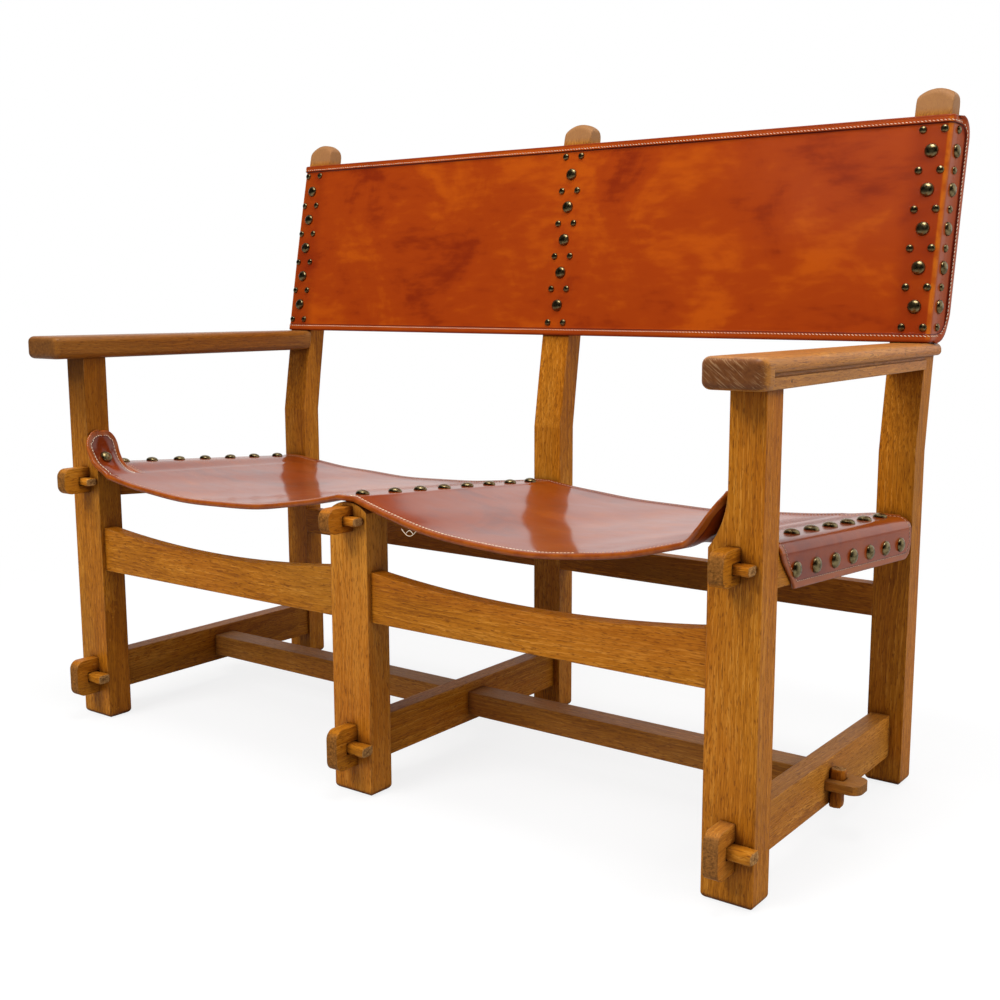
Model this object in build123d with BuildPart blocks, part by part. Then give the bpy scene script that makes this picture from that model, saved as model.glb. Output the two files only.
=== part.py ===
from build123d import *
import math
import os

# Oak mission settle for two: six posts joined by through-tenoned rails and stretchers that
# are locked with loose wedges, with a saddle-leather seat and back slung over the frame and
# held by domed nails.  +Z is up, +Y runs from the front to the back and +X to the right of
# somebody facing the settle.  The origin is on the floor, midway in the overall width and depth.
# All sizes are millimetres.

# Frame layout
origin_setback = 260.44  # from the front faces of the front posts back to the origin
frame_half_width = 594.0  # outer faces of the outer posts
frame_depth = 453.0  # front faces of the front posts to front faces of the rear posts
settle_height = 940.0
overrun = 30.0  # how far a cut runs past the wood it cuts
joint_play = 0.1  # between the cheeks of a fixed tenon and its mortise
arris = 1.5  # eased edges of sawn wood

front_y = -origin_setback
rear_y = front_y + frame_depth

# Front posts
front_post_depth = 40.0
front_post_width = 64.0
front_post_top_width = 42.0
shoulder_top_z = 463.0
shoulder_radius = 105.0
centre_post_width = 66.0
crown_z = 399.0
crown_drop = 13.0
foot_radius = 8.0

# Rear posts
rear_post_width = 50.0
rear_post_depth = 36.0
rear_post_top_depth = 28.0
kink_z = 461.0
rake_run = 87.9  # how far the top of a rear post leans back
rake_bow = 4.0  # hollow of the raked front face, from its chord
finial_crown = 9.0  # rise of the rounded top from its shoulders
finial_radius = 10.0
centre_finial_drop = 5.0  # the centre post stands this much lower

# Arms
arm_top_z = 604.5
arm_thickness = 34.0
arm_nose_overhang = 55.0
arm_inner_inset = 51.5  # the outer faces of the posts to the arm's inner edge
arm_front_overhang = 24.0  # the arm's outer edge past those faces, at the nose
arm_rear_overhang = 9.0
arm_nose_radius = 13.0
arm_edge_radius = 9.0
bead_height = 16.5
bead_radius = 6.0
cove_height = 5.0
cove_hollow = 2.0
fascia_setback = 7.0
fascia_start = 22.0  # full section left at the nose
bead_tail = 34.0  # the bead strip runs on past the front face of the rear post
post_stub_width = 24.0
post_stub_depth = 20.0
post_stub_height = 22.0
arm_tenon_height = 18.0
arm_tenon_width = 30.0
arm_tenon_length = 20.0

# Seat rails
seat_fall_share = 0.07  # fall of the seat towards the back, as a share of the run
rail_top_z = 403.4  # top of the rails, carried forward to the front faces of the front posts
rail_height = 46.0
rail_width = 50.0
rail_inset = 2.0  # outer rails stand in from the outer faces of the posts
rail_edge_radius = 12.0

# Side stretchers
stretcher_bottom_z = 39.5
stretcher_height = 59.0
stretcher_width = 28.0

# Through tenons and their wedges
tenon_thickness = 18.0
tenon_projection = 40.0
seat_tenon_extra = 5.0  # the left and centre ones at the seat stand out further
seat_tenon_inset = 34.0  # outer face of an outer post to the tenon's middle, at the seat
foot_tenon_inset = 32.0
seat_tenon_height = 39.0
seat_tenon_mid_z = 383.0
centre_seat_tenon_height = 33.0
centre_seat_tenon_mid_z = 377.5
foot_tenon_height = 56.0
foot_tenon_mid_z = 69.0
tenon_nose_radius = 13.0
back_tenon_length = 24.0
back_tenon_height = 34.0
back_foot_tenon_height = 44.0
wedge_play = 0.1  # wedge to slot, each face
wedge_seat_gap = 0.05  # wedge to the post that it draws up
slot_relief = 2.0  # the slot runs on inside the post
wedge_drop = 1.5  # wedge middle below the tenon's middle
seat_wedge_height = 12.5
seat_wedge_depth = 21.0
seat_wedge_thin_depth = 17.0
seat_wedge_head = 20.0  # thick end, beyond the tenon's cheek
seat_wedge_tip = 12.0
foot_wedge_height = 15.0
foot_wedge_depth = 23.0
foot_wedge_thin_depth = 18.0
foot_wedge_head = 30.0
foot_wedge_tip = 14.0
wedge_arris = 1.2

# Front and rear rails
front_rail_bottom_z = 239.8
front_rail_height = 67.7
front_rail_dip = 16.0
front_rail_thickness = 22.0
front_rail_setback = 6.5
rear_rail_bottom_z = 234.0
rear_rail_height = 44.4
rear_rail_thickness = 22.0
rail_tenon_length = 20.0
rail_tenon_thickness = 11.0
rail_tenon_shoulder = 8.0

# Long stretcher
long_back_step = 5.5  # its front face behind the middle of the frame's depth
long_width = 40.0
long_height = 34.4
long_bottom_z = 50.4
tongue_thickness = 11.5
tongue_mid_z = 68.0
tongue_projection = 44.0
tongue_radius = 14.0
long_wedge_depth = 16.0
long_wedge_thick = 20.0
long_wedge_thin = 17.0
long_wedge_top = 19.0  # above the middle of the tongue
long_wedge_bottom = 32.0

# Leather
seat_leather_thickness = 4.0
leather_gap = 0.3
front_hem_thickness = 7.5
front_hem_width = 22.0
seat_front_overhang = 6.0
seat_rear_gap = 6.0  # in front of the rear posts
ridge_half_width = 13.0
ridge_shoulder_run = 7.0
ridge_shoulder_drop = 1.4
bay_edge_inset = 94.0  # the outer faces of the posts to the edge of a bay
bay_front_low_right_share = 0.4882  # lowest point of a bay, as a share of the half width
bay_front_low_left_share = 0.505
bay_front_drop_right = 41.0
bay_front_drop_left = 33.0
bay_front_edge_drop_right = 6.0
bay_front_edge_drop_left = 13.0
bay_rear_low_share = 0.505
bay_rear_drop = 18.0
bay_rear_edge_drop = 5.4
ear_top_z = 460.0
ear_front_inset = 50.0
ear_front_bow = 4.5
ear_bow = 12.0
ear_depth = 58.0
ear_corner_radius = 28.0
strip_front_gap = 4.0  # behind the rear face of a front post
apron_drop = 55.0
apron_front_slant = 36.0
apron_corner_radius = 24.0
back_leather_thickness = 4.2
back_bottom_z = 605.5
back_top_z = 902.4
flap_reach = 50.0  # behind the front faces of the rear posts
flap_corner_radius = 30.0
back_corner_radius = 4.0
top_hem_width = 12.0
top_hem_thickness = 3.2

# Domed nails
large_dome_radius = 9.35
large_dome_height = 6.0
small_dome_radius = 5.25
small_dome_height = 4.0
dome_rim = 0.8
pin_radius = 1.0
pin_play = 0.15
large_pin_length = 15.0
small_pin_length = 12.0
dome_gap = 0.05
back_large_z = 652.0
back_large_pitch = 51.0
back_large_count = 5
back_small_low_z = 625.0
back_small_z = 677.5
back_small_top_z = 884.0
back_small_spread = 14.5
back_line_inset = 20.0  # outer nail lines, in from the outer faces of the posts
flap_line_setback = 20.0
centre_nail_first = 29.0
centre_nail_second = 93.0
centre_nail_last_gap = 45.6  # last nail of a line to the rear posts
centre_nail_count = 7
top_nail_first = 76.0
top_nail_last_gap = 47.0
side_nail_first = 80.0
side_nail_last_gap = 49.0
side_nail_drop = 33.0
outer_nail_count = 7
top_nail_inset = 27.0
ear_nail_setback = 27.0
ear_nail_z = 424.0
ear_nail_lift = 0.95  # a flat-bottomed dome in a hollow
arm_pin_radius = 1.4
arm_pin_length = 40.0
arm_pin_setback = 26.0
arm_pin_height = 7.0

# Worked-out positions
arm_inner_x = frame_half_width - arm_inner_inset
arm_front_outer_x = frame_half_width + arm_front_overhang
arm_rear_outer_x = frame_half_width + arm_rear_overhang
long_setback = frame_depth / 2 + long_back_step
seat_rear_edge = frame_depth - seat_rear_gap
bay_edge_x = frame_half_width - bay_edge_inset
bay_front_low_right_x = frame_half_width * bay_front_low_right_share
bay_front_low_left_x = frame_half_width * bay_front_low_left_share
bay_rear_low_x = frame_half_width * bay_rear_low_share
ear_front_top_x = frame_half_width - ear_front_inset
centre_nail_pitch = (frame_depth - centre_nail_second - centre_nail_last_gap) / (centre_nail_count - 1)
top_nail_pitch = (frame_depth - top_nail_first - top_nail_last_gap) / (outer_nail_count - 1)
side_nail_pitch = (frame_depth - side_nail_first - side_nail_last_gap) / (outer_nail_count - 1)
post_inner_x = frame_half_width - front_post_width
post_upper_inner_x = frame_half_width - front_post_top_width
arm_underside_z = arm_top_z - arm_thickness
shoulder_centre_x = post_upper_inner_x - shoulder_radius
shoulder_foot_z = shoulder_top_z - math.sqrt(
    shoulder_radius**2 - (post_inner_x - shoulder_centre_x) ** 2
)
ear_back_top_x = post_upper_inner_x - leather_gap - seat_leather_thickness
rear_post_x = frame_half_width - rear_post_width / 2
rail_x = frame_half_width - rail_inset - rail_width / 2
stretcher_x = frame_half_width - foot_tenon_inset
seat_tenon_x = frame_half_width - seat_tenon_inset
post_back_y = front_y + front_post_depth
long_mid_y = front_y + long_setback + long_width / 2
stretcher_mid_z = stretcher_bottom_z + stretcher_height / 2
long_mid_z = long_bottom_z + long_height / 2
front_rail_mid_y = front_y + front_rail_setback + front_rail_thickness / 2
rear_rail_mid_y = rear_y + rear_rail_thickness / 2

# The raked front faces of the rear posts lie on one arc in the YZ plane.
rake_rise = settle_height - kink_z
rake_chord = math.hypot(rake_run, rake_rise)
rake_radius = (rake_chord**2 / 4 + rake_bow**2) / (2 * rake_bow)
rake_centre_y = rear_y + rake_run / 2 + (rake_radius - rake_bow) * rake_rise / rake_chord
rake_centre_z = kink_z + rake_rise / 2 - (rake_radius - rake_bow) * rake_run / rake_chord


def back_y(height, lift=0.0):
    """Y of the raked line at a height, lifted forward off the posts by lift."""
    return rake_centre_y - math.sqrt((rake_radius + lift) ** 2 - (height - rake_centre_z) ** 2)


def rail_z(setback):
    """Top of the seat rails at a setback from the front faces of the front posts."""
    return rail_top_z - seat_fall_share * setback


def seat_z(setback):
    """Top of the seat leather where it lies on the rails."""
    return rail_z(setback) + leather_gap + seat_leather_thickness


# Nail places: each is a plane on the leather with its normal pointing out
back_large_heights = [back_large_z + back_large_pitch * i for i in range(back_large_count)]
back_small_heights = (
    [back_small_low_z]
    + [back_small_z + back_large_pitch * i for i in range(back_large_count - 1)]
    + [back_small_top_z]
)
back_line_x = frame_half_width - back_line_inset
back_outer_lift = leather_gap + back_leather_thickness
flap_face_x = frame_half_width + leather_gap + back_leather_thickness


def back_place(x, height, lift=dome_gap):
    """A plane on the front of the back leather."""
    y = back_y(height, back_outer_lift + lift)
    normal = (0, y - rake_centre_y, height - rake_centre_z)
    return Plane(origin=(x, y, height), x_dir=(1, 0, 0), z_dir=normal)


def flap_place(side, height):
    """A plane on the outer face of a back flap."""
    y = back_y(height) + flap_line_setback
    return Plane(origin=(side * (flap_face_x + dome_gap), y, height), x_dir=(0, 1, 0), z_dir=(side, 0, 0))


def seat_place(x, setback):
    """A plane on the seat leather above a rail."""
    return Plane(
        origin=(x, front_y + setback, seat_z(setback) + dome_gap),
        x_dir=(1, 0, 0),
        z_dir=(0, seat_fall_share, 1),
    )


apron_inner_x = rail_x + rail_width / 2 + leather_gap
apron_outer_x = apron_inner_x + seat_leather_thickness


def apron_place(side, setback):
    """A plane on the outer face of a seat apron."""
    return Plane(
        origin=(side * (apron_outer_x + dome_gap), front_y + setback, seat_z(setback) - side_nail_drop),
        x_dir=(0, 1, 0),
        z_dir=(side, 0, 0),
    )


back_line_places = {
    line: [back_place(line * back_line_x, height) for height in back_large_heights] for line in (-1, 0, 1)
}
back_pair_places = {
    line: [
        back_place(line * back_line_x + step * back_small_spread, height)
        for height in back_small_heights
        for step in (-1, 1)
    ]
    for line in (-1, 0, 1)
}
flap_large_places = {side: [flap_place(side, height) for height in back_large_heights] for side in (-1, 1)}
flap_small_places = {side: [flap_place(side, height) for height in back_small_heights] for side in (-1, 1)}
centre_places = [seat_place(0, centre_nail_first)] + [
    seat_place(0, centre_nail_second + centre_nail_pitch * i) for i in range(centre_nail_count)
]
top_places = {
    side: [
        seat_place(side * (frame_half_width - top_nail_inset), top_nail_first + top_nail_pitch * i)
        for i in range(outer_nail_count)
    ]
    for side in (-1, 1)
}
side_places = {
    side: [apron_place(side, side_nail_first + side_nail_pitch * i) for i in range(outer_nail_count)]
    for side in (-1, 1)
}

# Seat leather section: heights below the plane of the rails
seat_front_setback = -seat_front_overhang
seat_run = seat_rear_edge + seat_front_overhang


def bay_values(side, setback):
    """Low point x, low point z and edge z of one bay at a setback."""
    share = (setback - seat_front_setback) / seat_run
    if side > 0:
        low_x = bay_front_low_right_x + (bay_rear_low_x - bay_front_low_right_x) * share
        drop = bay_front_drop_right + (bay_rear_drop - bay_front_drop_right) * share
        edge = bay_front_edge_drop_right + (bay_rear_edge_drop - bay_front_edge_drop_right) * share
    else:
        low_x = bay_front_low_left_x + (bay_rear_low_x - bay_front_low_left_x) * share
        drop = bay_front_drop_left + (bay_rear_drop - bay_front_drop_left) * share
        edge = bay_front_edge_drop_left + (bay_rear_edge_drop - bay_front_edge_drop_left) * share
    return low_x, seat_z(setback) - drop, seat_z(setback) - edge


def ear_arcs(side, setback, inner, outer):
    """Two arcs of an ear's section, offset from its upper face, with their centre and radius.

    The front edge stands free of the post; behind the hem the ear lies on the post's shoulder.
    """
    share = min(1.0, (setback - seat_front_setback) / front_hem_width)
    top_x = ear_front_top_x + (ear_back_top_x - ear_front_top_x) * share
    bow = ear_front_bow + (ear_bow - ear_front_bow) * share
    edge_z = bay_values(side, setback)[2]
    run = top_x - bay_edge_x
    rise = ear_top_z - edge_z
    chord = math.hypot(run, rise)
    radius = (chord**2 / 4 + bow**2) / (2 * bow)
    centre_x = bay_edge_x + run / 2 - (radius - bow) * rise / chord
    centre_z = edge_z + rise / 2 + (radius - bow) * run / chord
    mid_x = bay_edge_x + run / 2 + bow * rise / chord
    mid_z = edge_z + rise / 2 - bow * run / chord
    curves = []
    for offset in (inner, outer):
        grow = (radius + offset) / radius
        curves.append(
            (
                (side * bay_edge_x, edge_z - offset),
                (side * (centre_x + (mid_x - centre_x) * grow), centre_z + (mid_z - centre_z) * grow),
                (side * (centre_x + (top_x - centre_x) * grow), centre_z + (ear_top_z - centre_z) * grow),
            )
        )
    return curves, (side * centre_x, centre_z), radius


ear_nail_places = {}
for side in (-1, 1):
    ear_curves, ear_centre, ear_radius = ear_arcs(side, ear_nail_setback, 0, 0)
    ear_nail_x = ear_centre[0] + side * math.sqrt(ear_radius**2 - (ear_nail_z - ear_centre[1]) ** 2)
    ear_normal = (ear_centre[0] - ear_nail_x, 0, ear_centre[1] - ear_nail_z)
    ear_shift = ear_nail_lift / ear_radius
    ear_nail_places[side] = Plane(
        origin=(
            ear_nail_x + ear_normal[0] * ear_shift,
            front_y + ear_nail_setback,
            ear_nail_z + ear_normal[2] * ear_shift,
        ),
        x_dir=(0, 1, 0),
        z_dir=ear_normal,
    )


# Arm in plan
arm_run_rear_y = back_y(arm_underside_z) + overrun
arm_tail_y = back_y(arm_top_z) + bead_tail
arm_front_y = front_y - arm_nose_overhang
arm_taper_share = (arm_front_outer_x - arm_rear_outer_x) / (arm_tail_y - arm_front_y)
bead_low_z = arm_top_z - bead_height
recess_front_y = arm_front_y + fascia_start


def arm_outer_x(y):
    """Outer edge of the arm in plan, which narrows towards the back."""
    return arm_front_outer_x - arm_taper_share * (y - arm_front_y)


arm_pin_plane = Plane(
    origin=(
        arm_outer_x(front_y + arm_pin_setback) - fascia_setback,
        front_y + arm_pin_setback,
        arm_underside_z + arm_pin_height,
    ),
    x_dir=(0, 1, 0),
    z_dir=(1, 0, 0),
)


# Wood

# Outer front posts: cut back on the inner side above the seat, with a stub into the arm.
with BuildPart() as front_post_blank:
    with BuildSketch(Plane.XZ.offset(-front_y)):
        with BuildLine():
            Line((frame_half_width, 0), (frame_half_width, arm_underside_z))
            Line((frame_half_width, arm_underside_z), (post_upper_inner_x, arm_underside_z))
            Line((post_upper_inner_x, arm_underside_z), (post_upper_inner_x, shoulder_top_z))
            ThreePointArc(
                (post_upper_inner_x, shoulder_top_z),
                (
                    shoulder_centre_x
                    + math.sqrt(shoulder_radius**2 - ((shoulder_top_z - shoulder_foot_z) / 2) ** 2),
                    (shoulder_top_z + shoulder_foot_z) / 2,
                ),
                (post_inner_x, shoulder_foot_z),
            )
            Line((post_inner_x, shoulder_foot_z), (post_inner_x, 0))
            Line((post_inner_x, 0), (frame_half_width, 0))
        make_face()
    extrude(amount=-front_post_depth)
    fillet(front_post_blank.faces().sort_by(Axis.Z)[0].edges(), radius=foot_radius)
    fillet(
        front_post_blank.edges()
        .filter_by(Axis.Z)
        .filter_by_position(Axis.X, frame_half_width - arris, frame_half_width + arris),
        radius=arris,
    )
    with Locations(
        (
            (post_upper_inner_x + frame_half_width) / 2,
            front_y + front_post_depth / 2,
            arm_underside_z,
        )
    ):
        Box(
            post_stub_width,
            post_stub_depth,
            post_stub_height,
            align=(Align.CENTER, Align.CENTER, Align.MIN),
        )
    with Locations((seat_tenon_x, front_y + front_post_depth / 2, seat_tenon_mid_z)):
        Box(
            tenon_thickness + 2 * joint_play,
            front_post_depth + overrun,
            seat_tenon_height + 2 * joint_play,
            mode=Mode.SUBTRACT,
        )
    with Locations((stretcher_x, front_y + front_post_depth / 2, foot_tenon_mid_z)):
        Box(
            tenon_thickness + 2 * joint_play,
            front_post_depth + overrun,
            foot_tenon_height + 2 * joint_play,
            mode=Mode.SUBTRACT,
        )
    with Locations(
        (post_inner_x, front_rail_mid_y, front_rail_bottom_z + front_rail_height / 2)
    ):
        Box(
            rail_tenon_length + joint_play,
            rail_tenon_thickness + 2 * joint_play,
            front_rail_height - 2 * rail_tenon_shoulder + 2 * joint_play,
            align=(Align.MIN, Align.CENTER, Align.CENTER),
            mode=Mode.SUBTRACT,
        )
    with Locations(arm_pin_plane.location):
        Hole(radius=arm_pin_radius + joint_play, depth=arm_pin_length + joint_play)

with BuildPart() as front_post_right:
    add(front_post_blank.part)
    with Locations(ear_nail_places[1].location):
        Hole(radius=pin_radius + pin_play, depth=large_pin_length + pin_play)

with BuildPart() as front_post_left:
    mirror(front_post_blank.part, about=Plane.YZ)
    with Locations(ear_nail_places[-1].location):
        Hole(radius=pin_radius + pin_play, depth=large_pin_length + pin_play)

# Centre front post: a crowned top under the seat leather.
with BuildPart() as front_post_centre:
    with BuildSketch(Plane.XZ.offset(-front_y)):
        with BuildLine():
            Line((-centre_post_width / 2, 0), (centre_post_width / 2, 0))
            Line((centre_post_width / 2, 0), (centre_post_width / 2, crown_z - crown_drop))
            ThreePointArc(
                (centre_post_width / 2, crown_z - crown_drop),
                (0, crown_z),
                (-centre_post_width / 2, crown_z - crown_drop),
            )
            Line((-centre_post_width / 2, crown_z - crown_drop), (-centre_post_width / 2, 0))
        make_face()
    extrude(amount=-front_post_depth)
    fillet(front_post_centre.faces().sort_by(Axis.Z)[0].edges(), radius=foot_radius)
    with Locations((0, front_y + front_post_depth / 2, centre_seat_tenon_mid_z)):
        Box(
            tenon_thickness + 2 * joint_play,
            front_post_depth + overrun,
            centre_seat_tenon_height + 2 * joint_play,
            mode=Mode.SUBTRACT,
        )
    with Locations((0, front_y + front_post_depth / 2, foot_tenon_mid_z)):
        Box(
            tenon_thickness + 2 * joint_play,
            front_post_depth + overrun,
            foot_tenon_height + 2 * joint_play,
            mode=Mode.SUBTRACT,
        )
    with Locations(
        (
            centre_post_width / 2 - rail_tenon_length / 2,
            front_rail_mid_y,
            front_rail_bottom_z + front_rail_height / 2,
        ),
        (
            rail_tenon_length / 2 - centre_post_width / 2,
            front_rail_mid_y,
            front_rail_bottom_z + front_rail_height / 2,
        ),
    ):
        Box(
            rail_tenon_length + 2 * joint_play,
            rail_tenon_thickness + 2 * joint_play,
            front_rail_height - 2 * rail_tenon_shoulder + 2 * joint_play,
            mode=Mode.SUBTRACT,
        )
    with Locations(centre_places[0].location):
        Hole(radius=pin_radius + pin_play, depth=large_pin_length + pin_play + dome_gap)

# Rear posts: upright to the seat, then raked back on a slow curve to a crowned finial.
rear_blank_z = settle_height + finial_radius
rear_mid_z = (kink_z + rear_blank_z) / 2
rear_taper_share = (rear_post_depth - rear_post_top_depth) / rake_rise


def post_rear_y(height):
    """Rear face of a rear post, which thins towards the top."""
    return back_y(height) + rear_post_depth - rear_taper_share * (height - kink_z)


rear_posts = {}
for line in (0, 1):
    post_x = line * rear_post_x
    finial_z = settle_height if line else settle_height - centre_finial_drop
    with BuildPart() as rear_post:
        with BuildSketch(Plane.YZ.offset(post_x - rear_post_width / 2)):
            with BuildLine():
                Line((rear_y, 0), (rear_y, kink_z))
                ThreePointArc(
                    (rear_y, kink_z),
                    (back_y(rear_mid_z), rear_mid_z),
                    (back_y(rear_blank_z), rear_blank_z),
                )
                Line((back_y(rear_blank_z), rear_blank_z), (post_rear_y(rear_blank_z), rear_blank_z))
                ThreePointArc(
                    (post_rear_y(rear_blank_z), rear_blank_z),
                    (post_rear_y(rear_mid_z), rear_mid_z),
                    (rear_y + rear_post_depth, kink_z),
                )
                Line((rear_y + rear_post_depth, kink_z), (rear_y + rear_post_depth, 0))
                Line((rear_y + rear_post_depth, 0), (rear_y, 0))
            make_face()
        extrude(amount=rear_post_width)
        # The top is cut to a crown and then rounded over on all sides.
        with BuildSketch(Plane.XZ.offset(-rear_y)):
            with BuildLine():
                ThreePointArc(
                    (post_x - rear_post_width / 2, finial_z - finial_crown),
                    (post_x, finial_z),
                    (post_x + rear_post_width / 2, finial_z - finial_crown),
                )
                Polyline(
                    (post_x + rear_post_width / 2, finial_z - finial_crown),
                    (post_x + rear_post_width / 2 + overrun, finial_z - finial_crown),
                    (post_x + rear_post_width / 2 + overrun, rear_blank_z + overrun),
                    (post_x - rear_post_width / 2 - overrun, rear_blank_z + overrun),
                    (post_x - rear_post_width / 2 - overrun, finial_z - finial_crown),
                    (post_x - rear_post_width / 2, finial_z - finial_crown),
                )
            make_face()
        extrude(amount=-rake_run - rear_post_depth - overrun, mode=Mode.SUBTRACT)
        fillet(rear_post.faces().sort_by(Axis.Z)[-1].edges(), radius=finial_radius)
        fillet(rear_post.faces().sort_by(Axis.Z)[0].edges(), radius=foot_radius)
        with Locations(
            (
                line * rail_x,
                rear_y,
                rail_z(frame_depth) - rail_height / 2,
            )
        ):
            Box(
                tenon_thickness + 2 * joint_play,
                2 * (back_tenon_length + joint_play),
                back_tenon_height + 2 * joint_play,
                mode=Mode.SUBTRACT,
            )
        with Locations((line * stretcher_x, rear_y, stretcher_mid_z)):
            Box(
                tenon_thickness + 2 * joint_play,
                2 * (back_tenon_length + joint_play),
                back_foot_tenon_height + 2 * joint_play,
                mode=Mode.SUBTRACT,
            )
        rail_sides = (-1, 1) if line == 0 else (-1,)
        for rail_side in rail_sides:
            with Locations(
                (
                    post_x + rail_side * (rear_post_width / 2 - rail_tenon_length / 2),
                    rear_rail_mid_y,
                    rear_rail_bottom_z + rear_rail_height / 2,
                )
            ):
                Box(
                    rail_tenon_length + 2 * joint_play,
                    rail_tenon_thickness + 2 * joint_play,
                    rear_rail_height - 2 * rail_tenon_shoulder + 2 * joint_play,
                    mode=Mode.SUBTRACT,
                )
        if line == 1:
            with Locations((rear_post_x, back_y(arm_underside_z), arm_top_z - arm_thickness / 2)):
                Box(
                    arm_tenon_width + 2 * joint_play,
                    2 * (arm_tenon_length + joint_play),
                    arm_tenon_height + 2 * joint_play,
                    mode=Mode.SUBTRACT,
                )
            with Locations(*[place.location for place in flap_large_places[1]]):
                Hole(radius=pin_radius + pin_play, depth=large_pin_length + pin_play + dome_gap)
            with Locations(*[place.location for place in flap_small_places[1]]):
                Hole(radius=pin_radius + pin_play, depth=small_pin_length + pin_play + dome_gap)
        with Locations(*[place.location for place in back_line_places[line]]):
            Hole(radius=pin_radius + pin_play, depth=large_pin_length + pin_play + dome_gap)
        with Locations(*[place.location for place in back_pair_places[line]]):
            Hole(radius=pin_radius + pin_play, depth=small_pin_length + pin_play + dome_gap)
    rear_posts[line] = rear_post

# Right arm: a flat board with a rounded nose, moulded along its outer edge.
with BuildPart() as arm_right:
    with BuildSketch(Plane.XY.offset(arm_underside_z)):
        with BuildLine():
            Polyline(
                (arm_inner_x, arm_front_y),
                (arm_front_outer_x, arm_front_y),
                (arm_outer_x(arm_tail_y), arm_tail_y),
                (frame_half_width, arm_tail_y),
                (frame_half_width, arm_run_rear_y + overrun),
                (arm_inner_x, arm_run_rear_y + overrun),
                (arm_inner_x, arm_front_y),
            )
        make_face()
        fillet(
            vertices().filter_by(lambda corner: corner.Y < arm_front_y + joint_play),
            radius=arm_nose_radius,
        )
    extrude(amount=arm_thickness)
    # The board butts against the raked front of the rear post.
    with BuildSketch(Plane.YZ.offset(arm_inner_x - overrun)):
        with BuildLine():
            ThreePointArc(
                (back_y(arm_underside_z - overrun), arm_underside_z - overrun),
                (back_y(arm_underside_z), arm_underside_z),
                (back_y(arm_top_z + overrun), arm_top_z + overrun),
            )
            Line(
                (back_y(arm_top_z + overrun), arm_top_z + overrun),
                (arm_run_rear_y + 2 * overrun, arm_top_z + overrun),
            )
            Line(
                (arm_run_rear_y + 2 * overrun, arm_top_z + overrun),
                (arm_run_rear_y + 2 * overrun, arm_underside_z - overrun),
            )
            Line(
                (arm_run_rear_y + 2 * overrun, arm_underside_z - overrun),
                (back_y(arm_underside_z - overrun), arm_underside_z - overrun),
            )
        make_face()
    extrude(amount=frame_half_width - arm_inner_x + overrun, mode=Mode.SUBTRACT)
    fillet(
        arm_right.edges().filter_by(
            lambda edge: edge.center().Y < rear_y - overrun
            and abs(edge.center().Z - arm_underside_z - arm_thickness / 2) > arm_thickness / 2 - joint_play
        ),
        radius=arm_edge_radius,
    )
    # Moulding: a bead above, a fine cove, and a fascia set back below.
    for section_y in (recess_front_y, arm_tail_y + overrun):
        with BuildSketch(Plane.XZ.offset(-section_y)):
            with BuildLine():
                edge_x = arm_outer_x(section_y)
                fascia_x = edge_x - fascia_setback
                Line((edge_x + overrun, bead_low_z + bead_radius), (edge_x, bead_low_z + bead_radius))
                ThreePointArc(
                    (edge_x, bead_low_z + bead_radius),
                    (
                        edge_x - bead_radius * (1 - math.sqrt(2) / 2),
                        bead_low_z + bead_radius * (1 - math.sqrt(2) / 2),
                    ),
                    (edge_x - bead_radius, bead_low_z),
                )
                Line((edge_x - bead_radius, bead_low_z), (fascia_x, bead_low_z))
                ThreePointArc(
                    (fascia_x, bead_low_z),
                    (fascia_x - cove_hollow, bead_low_z - cove_height / 2),
                    (fascia_x, bead_low_z - cove_height),
                )
                Line((fascia_x, bead_low_z - cove_height), (fascia_x, arm_underside_z - overrun))
                Line((fascia_x, arm_underside_z - overrun), (edge_x + overrun, arm_underside_z - overrun))
                Line(
                    (edge_x + overrun, arm_underside_z - overrun),
                    (edge_x + overrun, bead_low_z + bead_radius),
                )
            make_face()
    loft(ruled=True, mode=Mode.SUBTRACT)
    # Below the bead nothing runs past the post.
    with Locations((frame_half_width, back_y(arm_underside_z), bead_low_z)):
        Box(
            overrun,
            overrun * 3,
            arm_thickness,
            align=(Align.MIN, Align.MIN, Align.MAX),
            mode=Mode.SUBTRACT,
        )
    with Locations((rear_post_x, back_y(arm_underside_z) - overrun, arm_top_z - arm_thickness / 2)):
        Box(
            arm_tenon_width,
            overrun + arm_tenon_length,
            arm_tenon_height,
            align=(Align.CENTER, Align.MIN, Align.CENTER),
        )
    with Locations(
        (
            (post_upper_inner_x + frame_half_width) / 2,
            front_y + front_post_depth / 2,
            arm_underside_z,
        )
    ):
        Box(
            post_stub_width + 2 * joint_play,
            post_stub_depth + 2 * joint_play,
            post_stub_height + joint_play,
            align=(Align.CENTER, Align.CENTER, Align.MIN),
            mode=Mode.SUBTRACT,
        )
    with Locations(arm_pin_plane.location):
        Hole(radius=arm_pin_radius + joint_play, depth=arm_pin_length + joint_play)

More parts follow.
